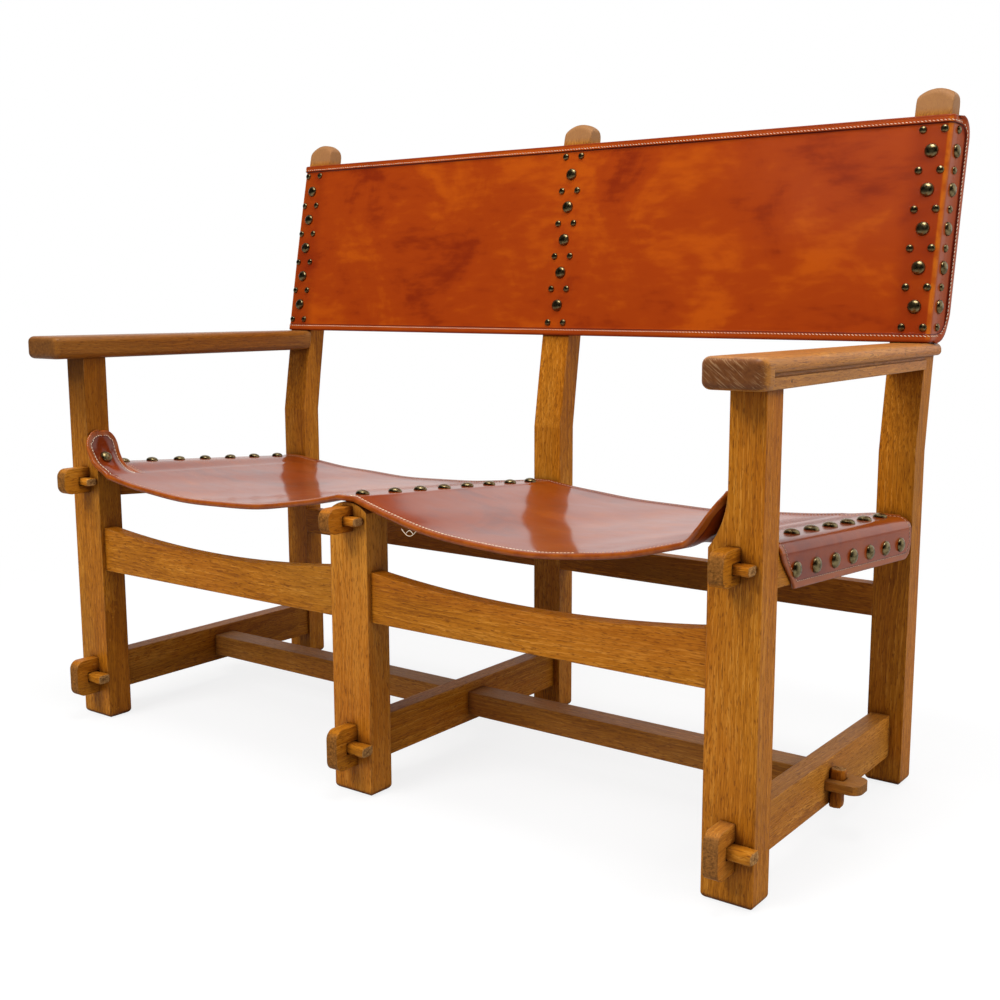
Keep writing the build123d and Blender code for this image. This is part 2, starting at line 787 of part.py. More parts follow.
# Seat rails: they fall towards the back and end in a long wedged tenon in front.
seat_rails = {}
for line in (-1, 0, 1):
    tenon_x = line * seat_tenon_x
    tenon_height = seat_tenon_height if line else centre_seat_tenon_height
    tenon_mid_z = seat_tenon_mid_z if line else centre_seat_tenon_mid_z
    projection = tenon_projection if line > 0 else tenon_projection + seat_tenon_extra
    with BuildPart() as seat_rail:
        with BuildSketch(Plane.YZ.offset(line * rail_x - rail_width / 2)):
            with BuildLine():
                Polyline(
                    (post_back_y, rail_z(front_post_depth) - rail_height),
                    (post_back_y, rail_z(front_post_depth)),
                    (rear_y, rail_z(frame_depth)),
                    (rear_y, rail_z(frame_depth) - rail_height),
                    (post_back_y, rail_z(front_post_depth) - rail_height),
                )
            make_face()
        extrude(amount=rail_width)
        fillet(
            seat_rail.faces().sort_by(Axis.Z)[-1].edges().filter_by(Axis.X, reverse=True),
            radius=rail_edge_radius,
        )
        with BuildSketch(Plane.YZ.offset(tenon_x - tenon_thickness / 2)):
            with Locations(((front_y - projection + post_back_y + joint_play) / 2, tenon_mid_z)):
                Rectangle(projection + front_post_depth + joint_play, tenon_height)
            fillet(
                vertices().filter_by(lambda corner: corner.X < front_y),
                radius=tenon_nose_radius,
            )
        extrude(amount=tenon_thickness)
        with Locations((line * rail_x, rear_y - joint_play, rail_z(frame_depth) - rail_height / 2)):
            Box(
                tenon_thickness,
                back_tenon_length + joint_play,
                back_tenon_height,
                align=(Align.CENTER, Align.MIN, Align.CENTER),
            )
        # Slot for the wedge, tapered like it.
        slot_mid_z = tenon_mid_z - wedge_drop
        slot_half = tenon_thickness / 2
        wedge_left = tenon_x - slot_half - seat_wedge_tip
        wedge_length = seat_wedge_tip + tenon_thickness + seat_wedge_head
        wedge_slope_share = (seat_wedge_depth - seat_wedge_thin_depth) / wedge_length
        depth_left = seat_wedge_thin_depth + wedge_slope_share * seat_wedge_tip
        depth_right = depth_left + wedge_slope_share * tenon_thickness
        with BuildSketch(Plane.XY.offset(slot_mid_z - seat_wedge_height / 2 - wedge_play)):
            with BuildLine():
                Polyline(
                    (tenon_x - slot_half - overrun, front_y + slot_relief),
                    (tenon_x + slot_half + overrun, front_y + slot_relief),
                    (
                        tenon_x + slot_half + overrun,
                        front_y - depth_right - wedge_slope_share * overrun - wedge_play,
                    ),
                    (
                        tenon_x - slot_half - overrun,
                        front_y - depth_left + wedge_slope_share * overrun - wedge_play,
                    ),
                    (tenon_x - slot_half - overrun, front_y + slot_relief),
                )
            make_face()
        extrude(amount=seat_wedge_height + 2 * wedge_play, mode=Mode.SUBTRACT)
        if line:
            with Locations(*[place.location for place in top_places[line] + side_places[line]]):
                Hole(radius=pin_radius + pin_play, depth=large_pin_length + pin_play + dome_gap)
        else:
            with Locations(*[place.location for place in centre_places]):
                Hole(radius=pin_radius + pin_play, depth=large_pin_length + pin_play + dome_gap)
    seat_rails[line] = seat_rail

# Side stretchers near the floor, with the same wedged tenon in front.
side_stretchers = {}
for line in (-1, 0, 1):
    tenon_x = line * stretcher_x
    with BuildPart() as side_stretcher:
        with Locations((tenon_x, post_back_y, stretcher_bottom_z)):
            Box(
                stretcher_width,
                rear_y - post_back_y,
                stretcher_height,
                align=(Align.CENTER, Align.MIN, Align.MIN),
            )
        fillet(side_stretcher.edges().filter_by(Axis.Y), radius=arris)
        with BuildSketch(Plane.YZ.offset(tenon_x - tenon_thickness / 2)):
            with Locations(
                ((front_y - tenon_projection + post_back_y + joint_play) / 2, foot_tenon_mid_z)
            ):
                Rectangle(tenon_projection + front_post_depth + joint_play, foot_tenon_height)
            fillet(
                vertices().filter_by(lambda corner: corner.X < front_y),
                radius=tenon_nose_radius,
            )
        extrude(amount=tenon_thickness)
        with Locations((tenon_x, rear_y - joint_play, stretcher_mid_z)):
            Box(
                tenon_thickness,
                back_tenon_length + joint_play,
                back_foot_tenon_height,
                align=(Align.CENTER, Align.MIN, Align.CENTER),
            )
        slot_half = tenon_thickness / 2
        wedge_length = foot_wedge_tip + tenon_thickness + foot_wedge_head
        wedge_slope_share = (foot_wedge_depth - foot_wedge_thin_depth) / wedge_length
        depth_left = foot_wedge_thin_depth + wedge_slope_share * foot_wedge_tip
        depth_right = depth_left + wedge_slope_share * tenon_thickness
        with BuildSketch(Plane.XY.offset(foot_tenon_mid_z - foot_wedge_height / 2 - wedge_play)):
            with BuildLine():
                Polyline(
                    (tenon_x - slot_half - overrun, front_y + slot_relief),
                    (tenon_x + slot_half + overrun, front_y + slot_relief),
                    (
                        tenon_x + slot_half + overrun,
                        front_y - depth_right - wedge_slope_share * overrun - wedge_play,
                    ),
                    (
                        tenon_x - slot_half - overrun,
                        front_y - depth_left + wedge_slope_share * overrun - wedge_play,
                    ),
                    (tenon_x - slot_half - overrun, front_y + slot_relief),
                )
            make_face()
        extrude(amount=foot_wedge_height + 2 * wedge_play, mode=Mode.SUBTRACT)
        # The long stretcher passes through the centre one; its tongue passes through the outer ones.
        hole_height = tongue_thickness if line else long_height
        hole_mid_z = tongue_mid_z if line else long_mid_z
        with Locations((tenon_x, long_mid_y, hole_mid_z)):
            Box(
                stretcher_width + overrun,
                long_width + 2 * joint_play,
                hole_height + 2 * joint_play,
                mode=Mode.SUBTRACT,
            )
    side_stretchers[line] = side_stretcher

# Front rails: dished along the top between the posts.
front_rail_left_x = centre_post_width / 2
front_rail_top_z = front_rail_bottom_z + front_rail_height
with BuildPart() as front_rail_right:
    with BuildSketch(Plane.XZ.offset(-front_y - front_rail_setback)):
        with BuildLine():
            Line((front_rail_left_x, front_rail_bottom_z), (post_inner_x, front_rail_bottom_z))
            Line((post_inner_x, front_rail_bottom_z), (post_inner_x, front_rail_top_z))
            ThreePointArc(
                (post_inner_x, front_rail_top_z),
                ((front_rail_left_x + post_inner_x) / 2, front_rail_top_z - front_rail_dip),
                (front_rail_left_x, front_rail_top_z),
            )
            Line((front_rail_left_x, front_rail_top_z), (front_rail_left_x, front_rail_bottom_z))
        make_face()
    extrude(amount=-front_rail_thickness)
    with Locations(
        (
            (front_rail_left_x + post_inner_x) / 2,
            front_rail_mid_y,
            front_rail_bottom_z + rail_tenon_shoulder,
        )
    ):
        Box(
            post_inner_x - front_rail_left_x + 2 * rail_tenon_length - 2 * joint_play,
            rail_tenon_thickness,
            front_rail_height - 2 * rail_tenon_shoulder - front_rail_dip,
            align=(Align.CENTER, Align.CENTER, Align.MIN),
        )

# Rear rails: flush with the fronts of the rear posts.
rear_rail_left_x = rear_post_width / 2
rear_rail_right_x = frame_half_width - rear_post_width
with BuildPart() as rear_rail_right:
    with Locations((rear_rail_left_x, rear_y, rear_rail_bottom_z)):
        Box(
            rear_rail_right_x - rear_rail_left_x,
            rear_rail_thickness,
            rear_rail_height,
            align=(Align.MIN, Align.MIN, Align.MIN),
        )
    fillet(rear_rail_right.edges().filter_by(Axis.X), radius=arris)
    with Locations(
        (
            (rear_rail_left_x + rear_rail_right_x) / 2,
            rear_rail_mid_y,
            rear_rail_bottom_z + rear_rail_height / 2,
        )
    ):
        Box(
            rear_rail_right_x - rear_rail_left_x + 2 * rail_tenon_length - 2 * joint_play,
            rail_tenon_thickness,
            rear_rail_height - 2 * rail_tenon_shoulder,
        )

# Long stretcher: one bar from side to side with a flat tongue at each end.
long_half = stretcher_x - stretcher_width / 2
tongue_face_x = stretcher_x + stretcher_width / 2
tongue_end_x = tongue_face_x + tongue_projection
long_wedge_length = long_wedge_top + long_wedge_bottom
long_slope_share = (long_wedge_thick - long_wedge_thin) / long_wedge_length
with BuildPart() as long_stretcher:
    with Locations((0, long_mid_y, long_mid_z)):
        Box(2 * long_half, long_width, long_height)
    fillet(long_stretcher.edges().filter_by(Axis.X), radius=arris)
    with BuildSketch(Plane.XY.offset(tongue_mid_z - tongue_thickness / 2)):
        with Locations((0, long_mid_y)):
            RectangleRounded(2 * tongue_end_x, long_width, tongue_radius)
    extrude(amount=tongue_thickness)
    for side in (-1, 1):
        with BuildSketch(Plane.XZ.offset(-long_mid_y - long_wedge_depth / 2 - wedge_play)):
            with BuildLine():
                tongue_top = tongue_mid_z + tongue_thickness / 2 + overrun
                tongue_low = tongue_mid_z - tongue_thickness / 2 - overrun
                thick_top = long_wedge_thick + long_slope_share * (
                    tongue_top - tongue_mid_z - long_wedge_top
                )
                thick_low = long_wedge_thick + long_slope_share * (
                    tongue_low - tongue_mid_z - long_wedge_top
                )
                Polyline(
                    (side * (tongue_face_x - slot_relief), tongue_low),
                    (side * (tongue_face_x - slot_relief), tongue_top),
                    (side * (tongue_face_x + thick_top + wedge_play), tongue_top),
                    (side * (tongue_face_x + thick_low + wedge_play), tongue_low),
                    (side * (tongue_face_x - slot_relief), tongue_low),
                )
            make_face()
        extrude(amount=long_wedge_depth + 2 * wedge_play, mode=Mode.SUBTRACT)

# Wedges

# Each front wedge slides in from the right, thin end first, between its tenon's slot and the post.
front_wedges = {}
for name, middle_x, middle_z, height, thick, thin, head, tip in (
    (
        "wedge_seat_right",
        seat_tenon_x,
        seat_tenon_mid_z - wedge_drop,
        seat_wedge_height,
        seat_wedge_depth,
        seat_wedge_thin_depth,
        seat_wedge_head,
        seat_wedge_tip,
    ),
    (
        "wedge_seat_centre",
        0,
        centre_seat_tenon_mid_z - wedge_drop,
        seat_wedge_height,
        seat_wedge_depth,
        seat_wedge_thin_depth,
        seat_wedge_head,
        seat_wedge_tip,
    ),
    (
        "wedge_seat_left",
        -seat_tenon_x,
        seat_tenon_mid_z - wedge_drop,
        seat_wedge_height,
        seat_wedge_depth,
        seat_wedge_thin_depth,
        seat_wedge_head,
        seat_wedge_tip,
    ),
    (
        "wedge_foot_right",
        stretcher_x,
        foot_tenon_mid_z,
        foot_wedge_height,
        foot_wedge_depth,
        foot_wedge_thin_depth,
        foot_wedge_head,
        foot_wedge_tip,
    ),
    (
        "wedge_foot_centre",
        0,
        foot_tenon_mid_z,
        foot_wedge_height,
        foot_wedge_depth,
        foot_wedge_thin_depth,
        foot_wedge_head,
        foot_wedge_tip,
    ),
    (
        "wedge_foot_left",
        -stretcher_x,
        foot_tenon_mid_z,
        foot_wedge_height,
        foot_wedge_depth,
        foot_wedge_thin_depth,
        foot_wedge_head,
        foot_wedge_tip,
    ),
):
    left_x = middle_x - tenon_thickness / 2 - tip
    right_x = middle_x + tenon_thickness / 2 + head
    with BuildPart() as wedge:
        with BuildSketch(Plane.XY.offset(middle_z - height / 2)):
            with BuildLine():
                Polyline(
                    (left_x, front_y - wedge_seat_gap),
                    (right_x, front_y - wedge_seat_gap),
                    (right_x, front_y - thick),
                    (left_x, front_y - thin),
                    (left_x, front_y - wedge_seat_gap),
                )
            make_face()
        extrude(amount=height)
        chamfer(wedge.faces().sort_by(Axis.X)[-1].edges(), length=wedge_arris)
        chamfer(wedge.faces().sort_by(Axis.X)[0].edges(), length=wedge_arris)
    front_wedges[name] = wedge

# The upright wedge that holds the tongue of the long stretcher, thick end up.
with BuildPart() as wedge_long_right:
    with BuildSketch(Plane.XZ.offset(-long_mid_y - long_wedge_depth / 2)):
        with BuildLine():
            Polyline(
                (tongue_face_x + wedge_seat_gap, tongue_mid_z - long_wedge_bottom),
                (tongue_face_x + wedge_seat_gap, tongue_mid_z + long_wedge_top),
                (tongue_face_x + long_wedge_thick, tongue_mid_z + long_wedge_top),
                (tongue_face_x + long_wedge_thin, tongue_mid_z - long_wedge_bottom),
                (tongue_face_x + wedge_seat_gap, tongue_mid_z - long_wedge_bottom),
            )
        make_face()
    extrude(amount=long_wedge_depth)
    chamfer(wedge_long_right.faces().sort_by(Axis.Z)[-1].edges(), length=wedge_arris)
    chamfer(wedge_long_right.faces().sort_by(Axis.Z)[0].edges(), length=wedge_arris)

# Leather

# Strips over the outer rails, down into the aprons, cut away beside the ears.
bend_radius = rail_edge_radius + leather_gap + seat_leather_thickness
inner_bend = bend_radius - seat_leather_thickness
bend_x = apron_outer_x - bend_radius
strip_flat_x = rail_x - rail_width / 2 + rail_edge_radius
turn_share = math.sqrt(2) / 2
ear_front_y = front_y + seat_front_setback
ear_rear_y = ear_front_y + ear_depth
strip_front_setback = front_post_depth + strip_front_gap
strip_front_y = front_y + strip_front_setback
hem_front_z = seat_z(strip_front_setback) - apron_drop
hem_rear_z = seat_z(seat_rear_edge) - apron_drop
apron_rear_y = front_y + seat_rear_edge
seat_strips = {}
for side in (-1, 1):
    with BuildPart() as seat_strip:
        for setback in (strip_front_setback, seat_rear_edge):
            edge_z = bay_values(side, setback)[2]
            top_z = seat_z(setback)
            under_z = top_z - seat_leather_thickness
            hem_z = top_z - apron_drop
            centre_z = top_z - bend_radius
            with BuildSketch(Plane.XZ.offset(-front_y - setback)):
                with BuildLine():
                    Line((side * bay_edge_x, edge_z), (side * strip_flat_x, top_z))
                    Line((side * strip_flat_x, top_z), (side * bend_x, top_z))
                    ThreePointArc(
                        (side * bend_x, top_z),
                        (side * (bend_x + bend_radius * turn_share), centre_z + bend_radius * turn_share),
                        (side * apron_outer_x, centre_z),
                    )
                    Line((side * apron_outer_x, centre_z), (side * apron_outer_x, hem_z))
                    Line((side * apron_outer_x, hem_z), (side * apron_inner_x, hem_z))
                    Line((side * apron_inner_x, hem_z), (side * apron_inner_x, centre_z))
                    ThreePointArc(
                        (side * apron_inner_x, centre_z),
                        (side * (bend_x + inner_bend * turn_share), centre_z + inner_bend * turn_share),
                        (side * bend_x, under_z),
                    )
                    Line((side * bend_x, under_z), (side * strip_flat_x, under_z))
                    edge_under_z = edge_z - seat_leather_thickness
                    Line((side * strip_flat_x, under_z), (side * bay_edge_x, edge_under_z))
                    Line((side * bay_edge_x, edge_under_z), (side * bay_edge_x, edge_z))
                make_face()
        loft(ruled=True)
        with Locations((side * (bay_edge_x + post_upper_inner_x) / 2, ear_rear_y, seat_z(ear_depth))):
            Box(
                post_upper_inner_x - bay_edge_x,
                2 * (ear_rear_y - strip_front_y),
                overrun,
                mode=Mode.SUBTRACT,
            )
        # Slanted front and rounded rear lower corners of the apron.
        with BuildSketch(Plane.YZ.offset(side * apron_outer_x - seat_leather_thickness * 2)):
            with BuildLine():
                Polyline(
                    (strip_front_y, seat_z(front_post_depth) - bend_radius),
                    (strip_front_y + apron_front_slant, hem_front_z - bend_radius / 4),
                    (strip_front_y - overrun, hem_front_z - bend_radius / 4),
                    (strip_front_y - overrun, seat_z(front_post_depth) - bend_radius),
                    (strip_front_y, seat_z(front_post_depth) - bend_radius),
                )
            make_face()
            with BuildLine():
                Polyline(
                    (apron_rear_y - apron_corner_radius, hem_rear_z),
                    (apron_rear_y - apron_corner_radius, hem_rear_z - overrun),
                    (apron_rear_y + overrun, hem_rear_z - overrun),
                    (apron_rear_y + overrun, hem_rear_z + apron_corner_radius),
                    (apron_rear_y, hem_rear_z + apron_corner_radius),
                )
                ThreePointArc(
                    (apron_rear_y, hem_rear_z + apron_corner_radius),
                    (
                        apron_rear_y - apron_corner_radius * (1 - turn_share),
                        hem_rear_z + apron_corner_radius * (1 - turn_share),
                    ),
                    (apron_rear_y - apron_corner_radius, hem_rear_z),
                )
            make_face()
        extrude(amount=seat_leather_thickness * 4, mode=Mode.SUBTRACT)
    seat_strips[side] = seat_strip

# Seat leather: two slung bays over the rails, an ear up the inside of each front post and the
# strips over the outer rails.
with BuildPart() as seat_leather:
    # The two bays, then the doubled hem under their front edge.
    for upper, lower, setbacks in (
        (0, seat_leather_thickness, (seat_front_setback, seat_rear_edge)),
        (
            seat_leather_thickness / 2,
            front_hem_thickness,
            (seat_front_setback, seat_front_setback + front_hem_width),
        ),
    ):
        for setback in setbacks:
            right_low_x, right_low_z, right_edge_z = bay_values(1, setback)
            left_low_x, left_low_z, left_edge_z = bay_values(-1, setback)
            ridge_z = seat_z(setback)
            ridge_foot_x = ridge_half_width + ridge_shoulder_run
            ridge_foot_z = ridge_z - ridge_shoulder_drop
            with BuildSketch(Plane.XZ.offset(-front_y - setback)):
                with BuildLine():
                    for drop in (upper, lower):
                        ThreePointArc(
                            (-bay_edge_x, left_edge_z - drop),
                            (-left_low_x, left_low_z - drop),
                            (-ridge_foot_x, ridge_foot_z - drop),
                        )
                        TangentArc(
                            (-ridge_half_width, ridge_z - drop),
                            (-ridge_foot_x, ridge_foot_z - drop),
                            tangent=(-1, 0),
                        )
                        Line((-ridge_half_width, ridge_z - drop), (ridge_half_width, ridge_z - drop))
                        TangentArc(
                            (ridge_half_width, ridge_z - drop),
                            (ridge_foot_x, ridge_foot_z - drop),
                            tangent=(1, 0),
                        )
                        ThreePointArc(
                            (ridge_foot_x, ridge_foot_z - drop),
                            (right_low_x, right_low_z - drop),
                            (bay_edge_x, right_edge_z - drop),
                        )
                    Line((-bay_edge_x, left_edge_z - upper), (-bay_edge_x, left_edge_z - lower))
                    Line((bay_edge_x, right_edge_z - upper), (bay_edge_x, right_edge_z - lower))
                make_face()
        loft(ruled=True)
    # Ears, with the hem carried up their front edges and thinned against the post.
    hem_end_setback = seat_front_setback + front_hem_width
    for side in (-1, 1):
        for sections in (
            (
                (seat_front_setback, 0, seat_leather_thickness),
                (hem_end_setback, 0, seat_leather_thickness),
                (seat_front_setback + ear_depth, 0, seat_leather_thickness),
            ),
            (
                (seat_front_setback, seat_leather_thickness / 2, front_hem_thickness),
                (hem_end_setback, seat_leather_thickness / 2, seat_leather_thickness),
            ),
        ):
            for setback, upper, lower in sections:
                (inner_curve, outer_curve), ear_centre, ear_radius = ear_arcs(side, setback, upper, lower)
                with BuildSketch(Plane.XZ.offset(-front_y - setback)):
                    with BuildLine():
                        ThreePointArc(*inner_curve)
                        Line(inner_curve[2], outer_curve[2])
                        ThreePointArc(*outer_curve)
                        Line(outer_curve[0], inner_curve[0])
                    make_face()
            loft(ruled=True)
    # Rounded upper corners of the ears, seen from the side.
    with BuildSketch(Plane.YZ.offset(-frame_half_width)):
        for corner_y, step in ((ear_front_y, 1), (ear_rear_y, -1)):
            with BuildLine():
                Polyline(
                    (corner_y + step * ear_corner_radius, ear_top_z),
                    (corner_y + step * ear_corner_radius, ear_top_z + overrun),
                    (corner_y - step * overrun, ear_top_z + overrun),
                    (corner_y - step * overrun, ear_top_z - ear_corner_radius),
                    (corner_y, ear_top_z - ear_corner_radius),
                )
                ThreePointArc(
                    (corner_y, ear_top_z - ear_corner_radius),
                    (
                        corner_y + step * ear_corner_radius * (1 - turn_share),
                        ear_top_z - ear_corner_radius * (1 - turn_share),
                    ),
                    (corner_y + step * ear_corner_radius, ear_top_z),
                )
            make_face()
    extrude(amount=2 * frame_half_width, mode=Mode.SUBTRACT)
    add(seat_strips[-1].part)
    add(seat_strips[1].part)
    seat_nail_places = centre_places + top_places[-1] + top_places[1] + side_places[-1] + side_places[1]
    with Locations(
        *[place.location for place in seat_nail_places],
        ear_nail_places[-1].location,
        ear_nail_places[1].location,
    ):
        Hole(radius=pin_radius + pin_play, depth=large_pin_length)

# Back leather: stretched over the fronts of the rear posts and wrapped round their outer faces.
back_mid_z = (back_bottom_z + back_top_z) / 2
hem_low_z = back_top_z - top_hem_width
with BuildPart() as back_leather:
    for lift_in, lift_out, low_z, half_width in (
        (leather_gap, back_outer_lift, back_bottom_z, flap_face_x),
        (
            leather_gap + back_leather_thickness / 2,
            back_outer_lift + top_hem_thickness,
            hem_low_z,
            flap_face_x - back_corner_radius,
        ),
    ):
        middle_z = (low_z + back_top_z) / 2
        with BuildSketch(Plane.YZ.offset(-half_width)):
            with BuildLine():
                ThreePointArc(
                    (back_y(low_z, lift_out), low_z),
                    (back_y(middle_z, lift_out), middle_z),
                    (back_y(back_top_z, lift_out), back_top_z),
                )
                Line((back_y(back_top_z, lift_out), back_top_z), (back_y(back_top_z, lift_in), back_top_z))
                ThreePointArc(
                    (back_y(back_top_z, lift_in), back_top_z),
                    (back_y(middle_z, lift_in), middle_z),
                    (back_y(low_z, lift_in), low_z),
                )
                Line((back_y(low_z, lift_in), low_z), (back_y(low_z, lift_out), low_z))
            make_face()
        extrude(amount=2 * half_width)
    for side in (-1, 1):
        flap_start_x = min(side * flap_face_x, side * (flap_face_x - back_leather_thickness))
        with BuildSketch(Plane.YZ.offset(flap_start_x)):
            with BuildLine():
                ThreePointArc(
                    (back_y(back_bottom_z, back_outer_lift), back_bottom_z),
                    (back_y(back_mid_z, back_outer_lift), back_mid_z),
                    (back_y(back_top_z, back_outer_lift), back_top_z),
                )
                Line(
                    (back_y(back_top_z, back_outer_lift), back_top_z),
                    (back_y(back_top_z) + flap_reach, back_top_z),
                )
                ThreePointArc(
                    (back_y(back_top_z) + flap_reach, back_top_z),
                    (back_y(back_mid_z) + flap_reach, back_mid_z),
                    (back_y(back_bottom_z) + flap_reach, back_bottom_z),
                )
                Line(
                    (back_y(back_bottom_z) + flap_reach, back_bottom_z),
                    (back_y(back_bottom_z, back_outer_lift), back_bottom_z),
                )
            make_face()
            fillet(
                vertices().filter_by(lambda corner: corner.X > back_y(corner.Y) + flap_reach / 2),
                radius=flap_corner_radius,
            )
        extrude(amount=back_leather_thickness)
    with Locations(
        *[
            place.location
            for line in (-1, 0, 1)
            for place in back_line_places[line] + back_pair_places[line]
        ],
        *[
            place.location
            for side in (-1, 1)
            for place in flap_large_places[side] + flap_small_places[side]
        ],
    ):
        Hole(radius=pin_radius + pin_play, depth=small_pin_length)

# Nails

studs = {}
for size, dome_radius, dome_height, pin_length in (
    ("large", large_dome_radius, large_dome_height, large_pin_length),
    ("small", small_dome_radius, small_dome_height, small_pin_length),
):
    with BuildPart() as stud:
        with BuildSketch(Plane.XZ):
            with BuildLine():
                Line((0, -pin_length), (pin_radius, -pin_length))
                Line((pin_radius, -pin_length), (pin_radius, 0))
                Line((pin_radius, 0), (dome_radius, 0))
                Line((dome_radius, 0), (dome_radius, dome_rim))
                TangentArc(
                    (0, dome_height),
                    (dome_radius, dome_rim),
                    tangent=(1, 0),
                )
                Line((0, dome_height), (0, -pin_length))
            make_face()
        revolve(axis=Axis.Z)
    studs[size] = stud

nail_groups = {
    "back_nails_large": (
        "large",
        [place for line in (-1, 0, 1) for place in back_line_places[line]],
    ),
    "back_nails_small": (
        "small",
        [place for line in (-1, 0, 1) for place in back_pair_places[line]],
    ),
    "flap_nails_large": ("large", flap_large_places[-1] + flap_large_places[1]),
    "flap_nails_small": ("small", flap_small_places[-1] + flap_small_places[1]),
    "seat_nails_centre": ("large", centre_places),
    "seat_nails_top": ("large", top_places[-1] + top_places[1]),
    "seat_nails_side": ("large", side_places[-1] + side_places[1]),
    "ear_nails": ("large", [ear_nail_places[-1], ear_nail_places[1]]),
}

nail_parts = {}
for group, (size, places) in nail_groups.items():
    with BuildPart() as nail_group:
        with Locations(*[place.location for place in places]):
            add(studs[size].part)
    nail_parts[group] = nail_group

# A fine pin through each arm's fascia holds it to the stub of its front post.
with BuildPart() as arm_pin_right:
    with Locations(arm_pin_plane.location):
        Cylinder(arm_pin_radius, arm_pin_length, align=(Align.CENTER, Align.CENTER, Align.MAX))

# Left-hand pieces and output

pieces = {
    "front_post_left": front_post_left,
    "front_post_right": front_post_right,
    "front_post_centre": front_post_centre,
    "rear_post_right": rear_posts[1],
    "rear_post_centre": rear_posts[0],
    "arm_right": arm_right,
    "arm_pin_right": arm_pin_right,
    "seat_rail_left": seat_rails[-1],
    "seat_rail_centre": seat_rails[0],
    "seat_rail_right": seat_rails[1],
    "side_stretcher_left": side_stretchers[-1],
    "side_stretcher_centre": side_stretchers[0],
    "side_stretcher_right": side_stretchers[1],
    "front_rail_right": front_rail_right,
    "rear_rail_right": rear_rail_right,
    "long_stretcher": long_stretcher,
    "wedge_long_right": wedge_long_right,
    "seat_leather": seat_leather,
    "back_leather": back_leather,
}
pieces.update(front_wedges)
pieces.update(nail_parts)
for right_name in (
    "rear_post_right",
    "arm_right",
    "arm_pin_right",
    "front_rail_right",
    "rear_rail_right",
    "wedge_long_right",
):
    with BuildPart() as left_piece:
        mirror(pieces[right_name].part, about=Plane.YZ)
    pieces[right_name.replace("right", "left")] = left_piece

os.makedirs("parts", exist_ok=True)
for name, piece in pieces.items():
    piece.part.label = name
    export_step(piece.part, f"parts/{name}.step")
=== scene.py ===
"""Oak settle for two with a saddle-leather seat and back, dressed and set for its picture.

The wooden pieces are the frame's own nodes with oak finishes.  The two leathers, their stitching,
the domed nails and the wedges are surfaces worked out here, in metres, in the frame's axes:
+X to the right of somebody facing the settle, +Y from the front to the back, +Z up.
"""

import logging
import math
from dataclasses import dataclass, field
from enum import Enum
from typing import Any, Sequence

import bmesh
import bpy
import numpy as np
from mathutils import Matrix, Vector


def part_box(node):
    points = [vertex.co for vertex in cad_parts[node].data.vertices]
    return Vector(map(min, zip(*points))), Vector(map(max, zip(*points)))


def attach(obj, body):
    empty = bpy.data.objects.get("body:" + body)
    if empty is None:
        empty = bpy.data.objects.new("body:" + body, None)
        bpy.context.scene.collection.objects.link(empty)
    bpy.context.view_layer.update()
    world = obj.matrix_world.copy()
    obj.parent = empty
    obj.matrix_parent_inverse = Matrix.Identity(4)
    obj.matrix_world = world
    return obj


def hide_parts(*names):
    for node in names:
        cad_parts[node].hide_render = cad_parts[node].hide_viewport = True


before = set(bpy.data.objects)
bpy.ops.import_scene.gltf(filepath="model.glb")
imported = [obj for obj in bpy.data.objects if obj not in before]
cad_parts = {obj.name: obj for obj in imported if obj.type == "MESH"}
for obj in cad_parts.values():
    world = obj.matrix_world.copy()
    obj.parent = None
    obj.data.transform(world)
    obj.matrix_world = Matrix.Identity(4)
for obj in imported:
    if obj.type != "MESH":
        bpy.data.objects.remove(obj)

log = logging.getLogger("settle")
Array = np.ndarray
Colour = tuple[float, float, float]
Point = tuple[float, float, float]
Socket = bpy.types.NodeSocket
Material = bpy.types.Material
Piece = bpy.types.Object
Spots = tuple[Sequence[Any], Sequence[Any]]  # X, Y, Z of nails' feet, and of the ways they look

FRONT_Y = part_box("front_post_right")[0][1]  # front faces of the front posts
REAR_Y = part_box("rear_rail_right")[0][1]  # front faces of the rear posts
SETTLE_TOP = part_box("rear_post_right")[1][2]
ROUND_EDGE = (0.0, 0.00015, 0.0005, 0.0010, 0.0016, 0.0024, 0.0036)  # ways in from a free edge
HEMMED_EDGE = ROUND_EDGE + (0.0055, 0.0076, 0.0096, 0.0101, 0.0106, 0.0112, 0.0135)


class Axis(Enum):
    """The way that the grain of a piece of oak runs."""

    ACROSS = "x"
    DEEP = "y"
    UPRIGHT = "z"


class Side(Enum):
    """Left or right of somebody facing the settle."""

    LEFT = -1
    RIGHT = 1


class Crowded(Enum):
    """Which ends of a row of places are free edges, where the places crowd."""

    NONE = (False, False)
    START = (True, False)
    END = (False, True)
    BOTH = (True, True)


def smooth(value: Array | float, low: float, high: float) -> Array:
    """A smooth step from 0 at low to 1 at high: 3t squared less 2t cubed."""
    share = np.clip((np.asarray(value, float) - low) / (high - low), 0.0, 1.0)
    return share * share * (3.0 - 2.0 * share)


def between(first: Any, last: Any, share: Any) -> Any:
    """The value at a share of the straight way from the first to the last."""
    return first + (last - first) * share


def unit(vectors: Array) -> Array:
    """Vectors divided by their lengths."""
    return vectors / np.maximum(np.linalg.norm(vectors, axis=-1, keepdims=True), 1e-12)


def read_between(rows: Array, places: Array, spots: Array) -> Array:
    """Rows of three numbers, each row with its place, read at spots between the places."""
    return np.stack([np.interp(spots, places, rows[:, k]) for k in range(3)], axis=1)


def corner_cut(inset: Array, radius: float) -> Array:
    """How far a rounded corner stands back: its radius less the root of radius and inset squared."""
    return radius - np.sqrt(np.maximum(radius**2 - inset**2, 0))


def way_to_corner(first: Array, second: Array, radius: float) -> Array:
    """Way to a rounded corner, from the ways to the two edges that meet in it."""
    return radius - np.hypot(np.clip(radius - first, 0, None), np.clip(radius - second, 0, None))


